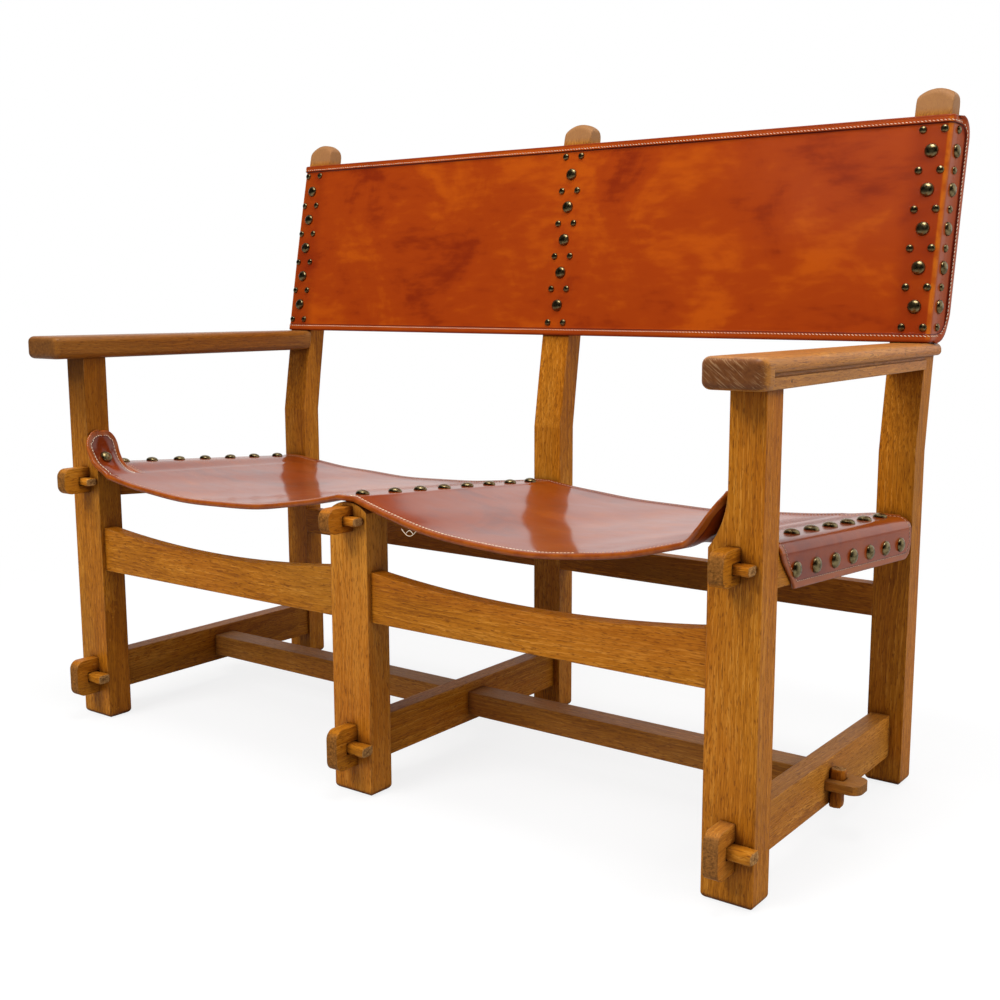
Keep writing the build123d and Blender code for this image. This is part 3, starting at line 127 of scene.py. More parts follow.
def graded(
    start: float, end: float, count: int, crowded: Crowded, close: Sequence[float] = ROUND_EDGE
) -> Array:
    """Places from start to end that crowd towards the ends that are free edges.

    Args:
        start: First place.
        end: Last place.
        count: Number of even places between the crowded ones.
        crowded: Which ends are crowded.
        close: Ways in from a crowded end.

    Returns:
        The places in order, both ends among them.
    """
    ways = (1.0 if end > start else -1.0) * np.array(close)
    near_start, near_end = crowded.value
    first = start + ways if near_start else np.array([start])
    last = (end - ways)[::-1] if near_end else np.array([end])
    middle = np.linspace(first[-1], last[0], count + 2)[1:-1]
    return np.concatenate([first, middle, last])


def arc_through(first: Array, via: Array, last: Array, share: Array) -> Array:
    """Points on the circle through three points in a plane, at shares of its angle.

    The centre is where the perpendicular bisectors meet; the angle runs evenly from the first
    point by way of the second to the last.

    Args:
        first: Two coordinates of the start.
        via: Two coordinates of a point between.
        last: Two coordinates of the end.
        share: Shares of the angle from 0 to 1.

    Returns:
        Points, one row of two coordinates for each share.
    """
    rows = np.array([via - first, last - via])
    halves = np.array([(via @ via - first @ first) / 2, (last @ last - via @ via) / 2])
    centre = np.linalg.solve(rows, halves)
    radius = float(np.linalg.norm(first - centre))
    start, end = (math.atan2(point[1] - centre[1], point[0] - centre[0]) for point in (first, last))
    turn = (end - start + math.pi) % (2 * math.pi) - math.pi
    angle = start + turn * share
    return centre + radius * np.stack([np.cos(angle), np.sin(angle)], axis=-1)


@dataclass
class Patch:
    """One grid of points on the outer face of a sheet, with each point's way to the free edge."""

    points: Array
    edge: Array

    def crossed(self) -> Array:
        """Unit normals: the cross product of the grid's difference by rows and that by columns."""
        return unit(np.cross(np.gradient(self.points, axis=0), np.gradient(self.points, axis=1)))

    def looks(self, towards: Point) -> bool:
        """Whether the cross products look towards a direction, on the whole."""
        return (self.crossed() * np.array(towards)).sum(axis=-1).mean() > 0

    def normals(self, towards: Point) -> Array:
        """Unit normals that look towards a direction, on the whole."""
        return self.crossed() if self.looks(towards) else -self.crossed()

    def row_at(self, height: float, heights: Array) -> tuple[Array, Array, int]:
        """The row at a height, blended from the two rows of the grid beside it.

        Args:
            height: Where it is wanted.
            heights: The same measure at each row.

        Returns:
            Its points, its ways to the edge and the number of the row before it.
        """
        index = np.interp(height, heights, np.arange(len(heights)))
        low, part = int(index), index - int(index)
        points, edge = (grid[low] * (1 - part) + grid[low + 1] * part for grid in (self.points, self.edge))
        return points, edge, low

    def side_line(self, normal: Array, way: float, last: bool, parts: int = 2) -> tuple[Array, Array]:
        """The line that keeps a way in from one side of the grid, as far as it is reached there.

        Args:
            normal: The grid's normals.
            way: The way in from the free edge.
            last: Whether it is the side of the last column.
            parts: It is looked for in the first of so many parts of the grid's width.

        Returns:
            Points of the line, one in a row of the grid, and the normals there.
        """
        order = slice(None, None, -1 if last else 1)
        reached = self.edge[:, order][:, : self.edge.shape[1] // parts] >= way
        valid = reached.any(axis=1)
        place = np.arange(len(valid))[valid], reached.argmax(axis=1)[valid]
        return self.points[:, order][place], normal[:, order][place]


@dataclass
class Rake:
    """The slow curve on which the fronts of the raked rear posts and the back leather lie."""

    kink_z: float = 0.461
    run: float = 0.0879
    bow: float = 0.0040

    def __post_init__(self) -> None:
        """Works out the centre and radius of the arc from its chord and bow."""
        rise = SETTLE_TOP - self.kink_z
        chord = math.hypot(self.run, rise)
        self.radius = (chord**2 / 4 + self.bow**2) / (2 * self.bow)
        self.centre_y = REAR_Y + self.run / 2 + (self.radius - self.bow) * rise / chord
        self.centre_z = self.kink_z + rise / 2 - (self.radius - self.bow) * self.run / chord

    def y(self, height: Array, lift: float = 0.0) -> Array:
        """Y at a height on the arc, moved out along its radius by lift."""
        return self.centre_y - np.sqrt((self.radius + lift) ** 2 - (height - self.centre_z) ** 2)


RAKE = Rake()


# Shaders


class Tree:
    """A node tree that is built up socket by socket."""

    def __init__(self, tree: bpy.types.NodeTree) -> None:
        """Takes the tree that it adds to, a material's or a world's."""
        self.tree = tree
        self.places = self.tree.nodes.new("ShaderNodeTexCoord").outputs

    def node(self, kind: str, inputs: dict[str | int, Any] | None = None, **settings: Any) -> bpy.types.Node:
        """Adds a node, sets its properties and fills its inputs with values or sockets.

        Args:
            kind: Type of the node, without the part that all types share.
            inputs: Socket names or numbers, and what goes into each.
            settings: Properties of the node.

        Returns:
            The new node.
        """
        made = self.tree.nodes.new("ShaderNode" + kind)
        for name, value in settings.items():
            setattr(made, name, value)
        self.fill(made, inputs or {})
        return made

    def fill(self, node: bpy.types.Node, inputs: dict[str | int, Any]) -> None:
        """Links inputs of a node to sockets, or sets their values.

        Args:
            node: The node.
            inputs: Socket names or numbers, and what goes into each.
        """
        for name, value in inputs.items():
            socket = node.inputs[name]
            if isinstance(value, Socket):
                self.tree.links.new(value, socket)
            elif isinstance(value, tuple) and len(value) == 3 and socket.type == "RGBA":
                socket.default_value = (*value, 1.0)
            else:
                socket.default_value = value

    def math(self, operation: str, first: Any, second: Any = 0.0, third: Any = 0.0) -> Socket:
        """One step of arithmetic on sockets or numbers."""
        return self.node("Math", {0: first, 1: second, 2: third}, operation=operation).outputs[0]

    def times(self, *values: Any) -> Socket:
        """The product of two or more values.

        Args:
            values: Sockets or numbers.

        Returns:
            The product's socket.
        """
        product = values[0]
        for value in values[1:]:
            product = self.math("MULTIPLY", product, value)
        return product

    def slope(self, value: Any, rise: float, base: Any) -> Socket:
        """A base and a number of times the value."""
        return self.math("MULTIPLY_ADD", value, rise, base)

    def vector(self, operation: str, first: Any, second: Any = None, **scale: float) -> Socket:
        """One step of arithmetic on vectors.

        Args:
            operation: Name of the step.
            first: Vector or socket.
            second: Vector or socket, if the step takes two.
            scale: A number for the input Scale, if the step takes one.

        Returns:
            The number socket of a step that ends in a number, or else the vector socket.
        """
        inputs = {0: first} | ({} if second is None else {1: second}) | scale
        number = operation in ("DOT_PRODUCT", "LENGTH")
        return self.node("VectorMath", inputs, operation=operation).outputs["Value" if number else "Vector"]

    def mapped(
        self, vector: Any, scale: Point = (1, 1, 1), move: Point = (0, 0, 0), turn: Point = (0, 0, 0)
    ) -> Socket:
        """A vector stretched by scale, turned, and then moved."""
        inputs = {"Vector": vector, "Scale": scale, "Location": move, "Rotation": turn}
        return self.node("Mapping", inputs).outputs[0]

    def noise(
        self, vector: Any, scale: float, detail: float = 3.0, rough: float = 0.5, bend: float = 0.0
    ) -> Socket:
        """Fractal noise about 0.5.

        Args:
            vector: Where it is read.
            scale: Features to the metre.
            detail: Octaves.
            rough: Weight of the finer octaves.
            bend: How much it distorts itself.

        Returns:
            The factor socket.
        """
        inputs = {"Vector": vector, "Scale": scale, "Detail": detail, "Roughness": rough, "Distortion": bend}
        return self.node("TexNoise", inputs).outputs[0]

    def ramp(self, value: Any, *stops: tuple[float, Colour]) -> Socket:
        """Colours along a value, easing from stop to stop.

        Args:
            value: Where the ramp is read.
            stops: Place and colour of each stop, in order.

        Returns:
            The colour socket.
        """
        made = self.node("ValToRGB", {0: value})
        made.color_ramp.interpolation = "EASE"
        elements = made.color_ramp.elements
        while len(elements) < len(stops):
            elements.new(0.5)
        for element, (place, colour) in zip(elements, stops):
            element.position = place
            element.color = (*colour, 1.0)
        return made.outputs[0]

    def step(self, value: Any, low: float, high: float, start: float = 0.0, end: float = 1.0) -> Socket:
        """A smooth step from start to end as the value goes from low to high."""
        inputs = {"Value": value, "From Min": low, "From Max": high, "To Min": start, "To Max": end}
        return self.node("MapRange", inputs, interpolation_type="SMOOTHSTEP").outputs[0]

    def layered(self, under: Any, *layers: tuple[Any, Any]) -> Socket:
        """A colour with others laid over it in turn.

        Args:
            under: Colour or socket at the bottom.
            layers: How much of each layer shows, and its colour or socket.

        Returns:
            The colour socket.
        """
        for share, colour in layers:
            made = self.node("Mix", data_type="RGBA", blend_type="MIX")
            self.fill(made, {0: share, 6: under, 7: colour})
            under = made.outputs[2]
        return under

    def part(self, vector: Any, axis: str) -> Socket:
        """One coordinate of a vector."""
        return self.node("SeparateXYZ", {0: vector}).outputs[axis.upper()]


class Shader(Tree):
    """The node tree of one material, with its principled surface."""

    def __init__(self, name: str) -> None:
        """Makes a material of that name.

        Args:
            name: Name of the material.
        """
        self.material = bpy.data.materials.new(name)
        self.material.use_nodes = True
        super().__init__(self.material.node_tree)
        self.surface = self.tree.nodes["Principled BSDF"]
        self.coordinates = self.places["Object"]

    def size_of(self, vector: Any, axis: str) -> Socket:
        """The size of one coordinate of a vector, whichever way it points."""
        return self.math("ABSOLUTE", self.part(vector, axis))

    def off(self, value: Any, middle: float) -> Socket:
        """How far a value lies from a middle one."""
        return self.math("ABSOLUTE", self.math("SUBTRACT", value, middle))

    def bump(self, *heights: tuple[Any, float, float], under: Any = None) -> None:
        """Bumps laid one on another and given to the surface.

        Args:
            heights: For each bump its height socket, its strength and its depth in metres.
            under: The normal under them, if it isn't the mesh's own.
        """
        for height, strength, depth in heights:
            inputs = {"Height": height, "Strength": strength, "Distance": depth}
            if under is not None:
                inputs["Normal"] = under
            under = self.node("Bump", inputs).outputs[0]
        self.fill(self.surface, {"Normal": under})

    def coat(self, colour: Any, roughness: Any, **others: Any) -> Material:
        """Gives the surface its colour, its roughness and other inputs.

        Args:
            colour: Colour or socket.
            roughness: Number or socket.
            others: More inputs, with underscores for the spaces in their names.

        Returns:
            The material.
        """
        inputs = {name.replace("_", " "): value for name, value in others.items()}
        self.fill(self.surface, {"Base Color": colour, "Roughness": roughness} | inputs)
        return self.material


@dataclass(frozen=True)
class OakFinish:
    """Waxed honey oak: wandering growth rings, open pores, short flecks and rough end grain."""

    name: str
    grain: Axis
    seed: int
    tone: float = 0.0  # above 0 darker, below 0 paler
    worn: float = 0.0  # how much of the wax is rubbed off
    gloss: float = 0.0
    end: Colour = (0.210, 0.082, 0.016)
    # A colour laid above one height: painted shade on the left front post under its arm, the left arm darker
    # all over, and the rear posts' tops bleached paler.
    stain_and_shade: tuple[float, float, float] = (0.0, 0.0, 0.0)  # its foot, its full height and its depth
    stain_and_shade_colour: Colour = (0.100, 0.028, 0.002)
    scratched: bool = False
    dark: Colour = (0.260, 0.078, 0.003)
    middle: Colour = (0.430, 0.143, 0.006)
    light: Colour = (0.590, 0.235, 0.026)
    ruddy: Colour = (0.400, 0.100, 0.005)
    olive: Colour = (0.330, 0.145, 0.016)
    pore: Colour = (0.150, 0.042, 0.003)
    fleck: Colour = (0.160, 0.042, 0.003)
    dry: Colour = (0.300, 0.175, 0.090)
    bruise: Colour = (0.110, 0.028, 0.006)
    scratch: Colour = (0.40, 0.23, 0.11)
    arris: Colour = (0.52, 0.27, 0.10)
    # Painted shade: the colour laid in corners, joints and undersides that ambient occlusion finds, partly
    # grime in the joints.
    crevice_dirt_and_shade: Colour = (0.075, 0.014, 0.002)
    arris_radius: float = 0.0022
    dirt_and_shade_reach: float = 0.016

    def make(self) -> Material:
        """Builds the material: grain, end grain, wear with a band of painted shade, rubbed arrises, and dirt
        with painted shade in the corners.

        Returns:
            The oak material.
        """
        s = Shader(self.name)
        quarter = math.pi / 2
        turn = (quarter * (self.grain is Axis.DEEP), quarter * (self.grain is Axis.ACROSS), 0.0)
        shift = np.random.default_rng(self.seed).uniform(-0.5, 0.5, 3) + np.array([0.31, 0.17, 0.0])
        place = s.mapped(s.coordinates, move=tuple(shift), turn=turn)
        bent = self.bent(s, place)
        rings = s.node(
            "TexWave",
            {"Vector": bent, "Scale": 48.0, "Distortion": 2.4, "Detail": 2.0, "Detail Scale": 1.4},
            wave_type="RINGS",
            rings_direction="Z",
            wave_profile="SAW",
        ).outputs[1]
        fibre = s.noise(s.mapped(bent, (1, 1, 0.045)), 560.0, 4.0, 0.7)
        streak = s.noise(s.mapped(bent, (1, 1, 0.022)), 90.0, 3.0, 0.6)
        pores = s.noise(s.mapped(bent, (1, 1, 0.085)), 820.0, 2.0)
        flecks = s.noise(s.mapped(bent, (1, 1, 0.16)), 640.0, 1.0, 0.4)
        cloud = s.noise(s.mapped(place, (1, 1, 0.3)), 13.0, 3.0, 0.55)
        ruddy = s.noise(s.mapped(place, (1, 1, 0.25), (3.1, 1.7, 0.4)), 9.0, 2.0)
        pore_mask = s.times(s.step(pores, 0.54, 0.66), s.step(rings, 0.05, 0.75, 1.0, 0.3))
        mixed = s.slope(rings, -0.20, 0.60 - 1.125 - 0.11 * self.tone)
        for pattern, weight in ((fibre, 1.15), (streak, 0.45), (cloud, 0.65)):
            mixed = s.slope(pattern, weight, mixed)
        facing = s.places["Normal"]
        ends = s.step(s.size_of(facing, self.grain.value), 0.62, 0.9)
        spots = s.noise(s.coordinates, 300.0, 4.0, 0.7)
        end_dark, end_light = (tuple(share * c for c in self.end) for share in (0.35, 1.9))
        colour = s.layered(
            s.ramp(mixed, (0.24, self.dark), (0.50, self.middle), (0.76, self.light)),
            (s.step(ruddy, 0.48, 0.66, 0.0, 0.35), self.ruddy),
            (s.step(ruddy, 0.34, 0.48, 0.3, 0.0), self.olive),
            (s.times(pore_mask, 0.65), self.pore),
            (s.times(s.step(flecks, 0.60, 0.70), 0.70), self.fleck),
            (s.times(ends, 0.85), s.ramp(spots, (0.34, end_dark), (0.52, self.end), (0.72, end_light))),
        )
        colour = self.wear(s, colour, cloud)
        eased = s.node("Bevel", {"Radius": self.arris_radius}, samples=5).outputs[0]
        off = s.vector("DOT_PRODUCT", eased, s.node("NewGeometry").outputs["Normal"])
        arris = s.times(s.step(off, 0.995, 0.86), s.step(s.noise(s.coordinates, 55.0, 4.0, 0.65), 0.42, 0.62))
        # Painted shade from ambient occlusion: darker in corners, joints and undersides where shade falls,
        # partly grime in the joints.
        crevice_dirt_and_shade = s.node("AmbientOcclusion", {"Distance": self.dirt_and_shade_reach}, samples=4).outputs["AO"]
        colour = s.layered(
            colour, (s.times(arris, 0.40), self.arris), (s.step(crevice_dirt_and_shade, 0.30, 0.92, 0.80, 0.0), self.crevice_dirt_and_shade)
        )
        s.bump(
            (fibre, 0.35, 0.0008),
            (s.math("SUBTRACT", 1.0, pore_mask), 0.45, 0.0005),
            (cloud, 0.3, 0.002),
            (s.times(spots, ends), 0.6, 0.0012),
            under=eased,
        )
        dull = s.slope(ends, 0.25, s.slope(pore_mask, 0.2, s.slope(cloud, 0.25, 0.34)))
        return s.coat(colour, dull, Specular_IOR_Level=0.14, Coat_Weight=self.gloss, Coat_Roughness=0.3)

    def bent(self, s: Shader, place: Socket) -> Socket:
        """The places in the timber, wandering a little as the tree grew.

        Args:
            s: The material's shader.
            place: Places turned to the grain.

        Returns:
            The wandering places.
        """
        along = s.mapped(place, (1, 1, 0.22))
        wander = s.node("TexNoise", {"Vector": along, "Scale": 7.0, "Detail": 2.0}).outputs[1]
        swing = s.vector("SCALE", s.vector("SUBTRACT", wander, (0.5, 0.5, 0.5)), Scale=0.05)
        return s.vector("ADD", place, swing)

    def wear(self, s: Shader, colour: Socket, cloud: Socket) -> Socket:
        """Lays wear on the oak: rubbed tops; a colour laid above one height, bleach on the rear posts and
        painted shade under the left arm; a bruised and scratched nose.

        Args:
            s: The material's shader.
            colour: The colour under the wear.
            cloud: A slow noise along the grain.

        Returns:
            The worn colour.
        """
        facing = s.places["Normal"]
        if self.worn:
            tops = s.step(s.part(facing, "z"), 0.3, 0.95, 0.45, 1.0)
            rubbed = s.times(tops, s.step(cloud, 0.36, 0.62, 0.45, 1.0), self.worn)
            colour = s.layered(colour, (rubbed, self.dry))
        # Painted shade on the upper left front post, where the left arm shades it; the same band darkens the
        # whole left arm and bleaches the rear posts' tops.
        low, high, depth = self.stain_and_shade
        if depth:
            height = s.part(s.coordinates, "z")
            colour = s.layered(colour, (s.step(height, low, high, 0.0, depth), self.stain_and_shade_colour))
        if self.scratched:
            turned = s.mapped(s.coordinates, turn=(0.0, math.radians(52.0), 0.0))
            line = s.noise(s.mapped(turned, (1, 0.2, 0.05)), 880.0, 2.0)
            nose = s.step(s.part(facing, "y"), -0.75, -0.35, 1.0, 0.0)
            middle = s.step(s.noise(s.coordinates, 34.0, 1.0), 0.38, 0.55)
            marks = s.times(s.step(line, 0.53, 0.62), nose, middle, 0.50)
            colour = s.layered(colour, (s.times(nose, 0.75), self.bruise), (marks, self.scratch))
        return colour


@dataclass(frozen=True)
class LeatherFinish:
    """Vegetable-tanned saddle leather: mottled dye, fine grain, faint scars and burnished edges."""

    name: str
    seed: int
    pale: Colour
    body: Colour
    deep: Colour
    burnish: Colour
    gloss: float
    roughness: float
    coat_roughness: float
    hem: Colour = (0.460, 0.130, 0.020)
    # Partly a painted highlight: the paler turn is streaked along the fold where it catches the light.
    fold: Colour | None = None  # the paler turn at the outer posts, on the back alone
    groove: float = 0.0105  # way of the creased line in from the edge
    groove_from: float = -1.0  # how far from the middle it starts
    specular: float = 0.08
    patch_scale: float = 7.0
    fold_x: float = 0.5985
    flap: Colour = (0.310, 0.058, 0.010)
    rolled: Colour = (0.120, 0.009, 0.003)
    # Painted shade: the seat's ears darkened from 0.40 m up, where they stand in shade.
    ear: Colour = (0.060, 0.006, 0.001)
    # Partly painted shade: the creased line is darker leather with shade painted in its groove.
    crease_and_shade: Colour = (0.080, 0.007, 0.002)

    def make(self) -> Material:
        """Builds the material: dye and scars, then its edges and creased lines with painted shade in their
        grooves, painted shade on the seat's ears and a painted highlight along the back's folds.

        Returns:
            The leather material.
        """
        s = Shader(self.name)
        place = s.mapped(s.coordinates, move=tuple(np.random.default_rng(self.seed).uniform(-3, 3, 3)))
        patches = s.noise(s.mapped(place, (0.8, 1, 1)), self.patch_scale, 5.0, 0.58, 0.6)
        smudge = s.noise(s.mapped(place, (0.7, 1, 2.4)), self.patch_scale * 5)
        mixed = s.math("ADD", s.times(patches, 0.75), s.times(smudge, 0.25))
        scar = s.step(s.off(s.noise(place, 11.0, 2.0, 0.5, 1.2), 0.5), 0.0, 0.004, 1.0, 0.0)
        colour = s.layered(
            s.ramp(mixed, (0.34, self.deep), (0.50, self.body), (0.66, self.pale)),
            (s.times(scar, s.step(s.noise(place, 23.0), 0.55, 0.7), 0.35), self.burnish),
        )
        edge = s.node("Attribute", attribute_name="edge").outputs["Fac"]
        across = s.size_of(s.coordinates, "x")
        grooved = s.step(across, self.groove_from, self.groove_from + 0.02)
        if self.fold:
            colour = s.layered(colour, *self.folds(s, place, across))
        else:
            rear = s.step(s.part(s.coordinates, "y"), 0.150, 0.170)
            # Painted shade on the ears: the leather above 0.40 m mixed towards the ear colour.
            high = s.step(s.part(s.coordinates, "z"), 0.402, 0.430, 0.0, 0.60)
            colour = s.layered(
                colour, (s.times(s.step(edge, 0.0085, 0.0120, 0.9, 0.0), rear), self.rolled), (high, self.ear)
            )
        worn = tuple(0.5 * (a + b) for a, b in zip(self.deep, self.burnish))
        # A darker creased line with painted shade in its groove, dented by the bump below.
        line = s.times(s.step(s.off(edge, self.groove), 0.0005, 0.0013, 0.90, 0.0), grooved)
        colour = s.layered(
            colour,
            (s.times(grooved, s.step(edge, self.groove - 0.001, self.groove, 0.35, 0.0)), self.hem),
            (
                s.step(edge, 0.0012, 0.0055, 0.90, 0.0),
                s.ramp(s.noise(place, 70.0, 4.0, 0.65), (0.36, worn), (0.60, self.burnish)),
            ),
            (line, self.crease_and_shade),
        )
        grain = s.node("TexVoronoi", {"Vector": place, "Scale": 700.0}, feature="SMOOTH_F1").outputs[0]
        fine = s.noise(place, 1900.0, 2.0)
        s.bump((patches, 0.15, 0.004), (grain, 0.10, 0.0004), (fine, 0.08, 0.0002), (line, -0.6, 0.0012))
        dull = s.slope(smudge, 0.2, self.roughness - 0.1)
        return s.coat(
            colour,
            dull,
            Specular_IOR_Level=self.specular,
            Coat_Weight=self.gloss,
            Coat_Roughness=self.coat_roughness,
        )

    def folds(self, s: Shader, place: Socket, across: Socket) -> Sequence[tuple[Socket, Colour]]:
        """Layers of the back at its outer posts: darker near them, dark flaps and a paler turn with a painted
        highlight along it.

        Args:
            s: The material's shader.
            place: Places in the leather.
            across: How far a point lies from the middle.

        Returns:
            Share and colour of each layer.
        """
        turned = s.size_of(s.places["Normal"], "x")
        # Paler leather at the turn round the outer posts, streaked as a painted highlight along the fold.
        turn_pale_and_highlight = s.times(
            s.step(turned, 0.06, 0.35),
            s.step(turned, 0.90, 0.99, 1.0, 0.0),
            s.step(across, self.fold_x - 0.0002, self.fold_x + 0.0003, 1.0, 0.0),
            s.step(s.noise(place, 60.0), 0.35, 0.60, 0.35, 0.9),
        )
        near = s.step(across, 0.535, 0.560, 0.0, 0.55)
        return (near, self.deep), (s.step(turned, 0.90, 0.99, 0.0, 0.8), self.flap), (turn_pale_and_highlight, self.fold)


@dataclass(frozen=True)
class BronzeFinish:
    """Nail bronze gone dark olive, brighter where it is rubbed."""

    name: str = "nail bronze"
    dark: Colour = (0.145, 0.105, 0.046)
    bright: Colour = (0.310, 0.245, 0.120)

    def make(self) -> Material:
        """Builds the material.

        Returns:
            The bronze material.
        """
        s = Shader(self.name)
        cloud = s.noise(s.coordinates, 210.0, 4.0, 0.6)
        s.bump((s.noise(s.coordinates, 240.0, 2.0), 0.18, 0.0006))
        colour = s.ramp(cloud, (0.35, self.dark), (0.68, self.bright))
        return s.coat(colour, s.slope(cloud, 0.30, 0.14), Metallic=1.0)


@dataclass(frozen=True)
class PlainFinish:
    """A fine, nearly even finish for thread and pins."""

    name: str
    colour: Colour
    second: Colour
    scale: float = 900.0
    roughness: float = 0.6
    metallic: float = 0.0

    def make(self) -> Material:
        """Builds the material.

        Returns:
            The material.
        """
        s = Shader(self.name)
        grain = s.noise(s.coordinates, self.scale)
        s.bump((grain, 0.3, 0.0004))
        colour = s.layered(self.colour, (s.step(grain, 0.4, 0.6), self.second))
        return s.coat(colour, self.roughness, Metallic=self.metallic)


# Meshes


def add_piece(name: str, points: Array, faces: Array, material: Material, edge: Array | None = None) -> Piece:
    """Makes an object of points and faces, closes its seams and shades it smooth.

    Args:
        name: Name of the piece.
        points: Rows of three coordinates.
        faces: Rows of four point numbers, turned outwards.
        material: The piece's material.
        edge: A number for each point, kept as the attribute "edge".

    Returns:
        The new object, at the origin.
    """
    mesh = bpy.data.meshes.new(name)
    mesh.vertices.add(len(points))
    mesh.vertices.foreach_set("co", np.ascontiguousarray(points, np.float32).ravel())
    mesh.loops.add(faces.size)
    mesh.loops.foreach_set("vertex_index", np.ascontiguousarray(faces, np.int32).ravel())
    mesh.polygons.add(len(faces))
    mesh.polygons.foreach_set("loop_start", np.arange(0, faces.size, faces.shape[1], dtype=np.int32))
    mesh.update(calc_edges=True)
    if edge is not None:
        mesh.attributes.new("edge", "FLOAT", "POINT").data.foreach_set("value", edge.astype(np.float32))
    mesh.validate()
    work = bmesh.new()
    work.from_mesh(mesh)
    bmesh.ops.remove_doubles(work, verts=work.verts, dist=1e-6)
    bmesh.ops.dissolve_degenerate(work, edges=work.edges, dist=1e-7)
    work.to_mesh(mesh)
    work.free()
    mesh.polygons.foreach_set("use_smooth", np.ones(len(mesh.polygons), bool))
    mesh.materials.append(material)
    piece = bpy.data.objects.new(name, mesh)
    bpy.context.scene.collection.objects.link(piece)
    return piece


def tube_faces(rings: int, around: int) -> Array:
    """Faces of a tube whose points are numbered ring by ring, each ring closed on itself.

    Args:
        rings: How many rings.
        around: How many points in a ring.

    Returns:
        Rows of four point numbers.
    """
    ring = np.arange(rings - 1)[:, None] * around
    spot = np.arange(around)[None, :]
    after = (spot + 1) % around
    corners = [ring + spot, ring + around + spot, ring + around + after, ring + after]
    return np.stack(corners, axis=-1).reshape(-1, 4)


def sheet_shell(
    name: str,
    patches: Sequence[Patch],
    thickness: float,
    material: Material,
    up: Sequence[Point],
    hem: Sequence[Array] | None = None,
) -> Piece:
    """A closed sheet with round edges under an outer face given as patches.

    The sheet's middle lies half a thickness below the face.  Both faces stand off the middle by
    half the thickness times the square root of one less (one less way to edge over half
    thickness) squared, so they meet in a half round at every free edge.

    Args:
        name: Name of the piece.
        patches: Grids of points of the outer face, which share the points of their seams.
        thickness: Thickness of the sheet.
        material: The piece's material.
        up: For each patch, a direction that its outer face looks towards.
        hem: For each patch, thickness added below the sheet.

    Returns:
        The new object.
    """
    face = np.concatenate([patch.points.reshape(-1, 3) for patch in patches])
    normal = np.concatenate([patch.normals(towards).reshape(-1, 3) for patch, towards in zip(patches, up)])
    # points that are less than 5 micrometres apart are one, so seams share their normals
    group = np.unique(np.round(face * 2e5).astype(np.int64), axis=0, return_inverse=True)[1].ravel()
    summed = np.zeros((group.max() + 1, 3))
    np.add.at(summed, group, normal)
    normal = unit(summed[group])
    edge = np.concatenate([patch.edge.ravel() for patch in patches])
    whole = thickness + (np.concatenate([extra.ravel() for extra in hem]) if hem else 0.0 * edge)
    share = np.clip(edge / (whole / 2), 0.0, 1.0)
    half = (whole / 2 * np.sqrt(np.clip(1.0 - (1.0 - share) ** 2, 0.0, 1.0)))[:, None]
    middle = face - normal * (whole / 2)[:, None]
    faces = []
    start = 0
    for patch, towards in zip(patches, up):
        rows, columns = patch.edge.shape
        corner = start + np.arange(rows - 1)[:, None] * columns + np.arange(columns - 1)[None, :]
        own = np.stack([corner, corner + columns, corner + columns + 1, corner + 1], axis=-1).reshape(-1, 4)
        faces.append(own if patch.looks(towards) else own[:, ::-1])
        start += rows * columns
    top = np.concatenate(faces)
    points = np.concatenate([middle + normal * half, middle - normal * half])
    faces = np.concatenate([top, top[:, ::-1] + len(face)])
    return add_piece(name, points, faces, material, np.tile(edge, 2))


def stamped(shape: Array, faces: Array, places: Array, axes: Sequence[Array]) -> tuple[Array, Array]:
    """Copies of a small shape set in many places.

    Args:
        shape: Points of the shape, in its own axes: across, along, out.
        faces: Its faces.
        places: One row for each copy.
        axes: Unit vectors across, along and out, one row for each copy.

    Returns:
        Points and faces of all the copies.
    """
    turned = np.einsum("pk,nkc->npc", shape, np.stack(axes, axis=1)) + places[:, None, :]
    all_faces = faces[None] + (np.arange(len(places)) * len(shape))[:, None, None]
    return turned.reshape(-1, 3), all_faces.reshape(-1, faces.shape[1])


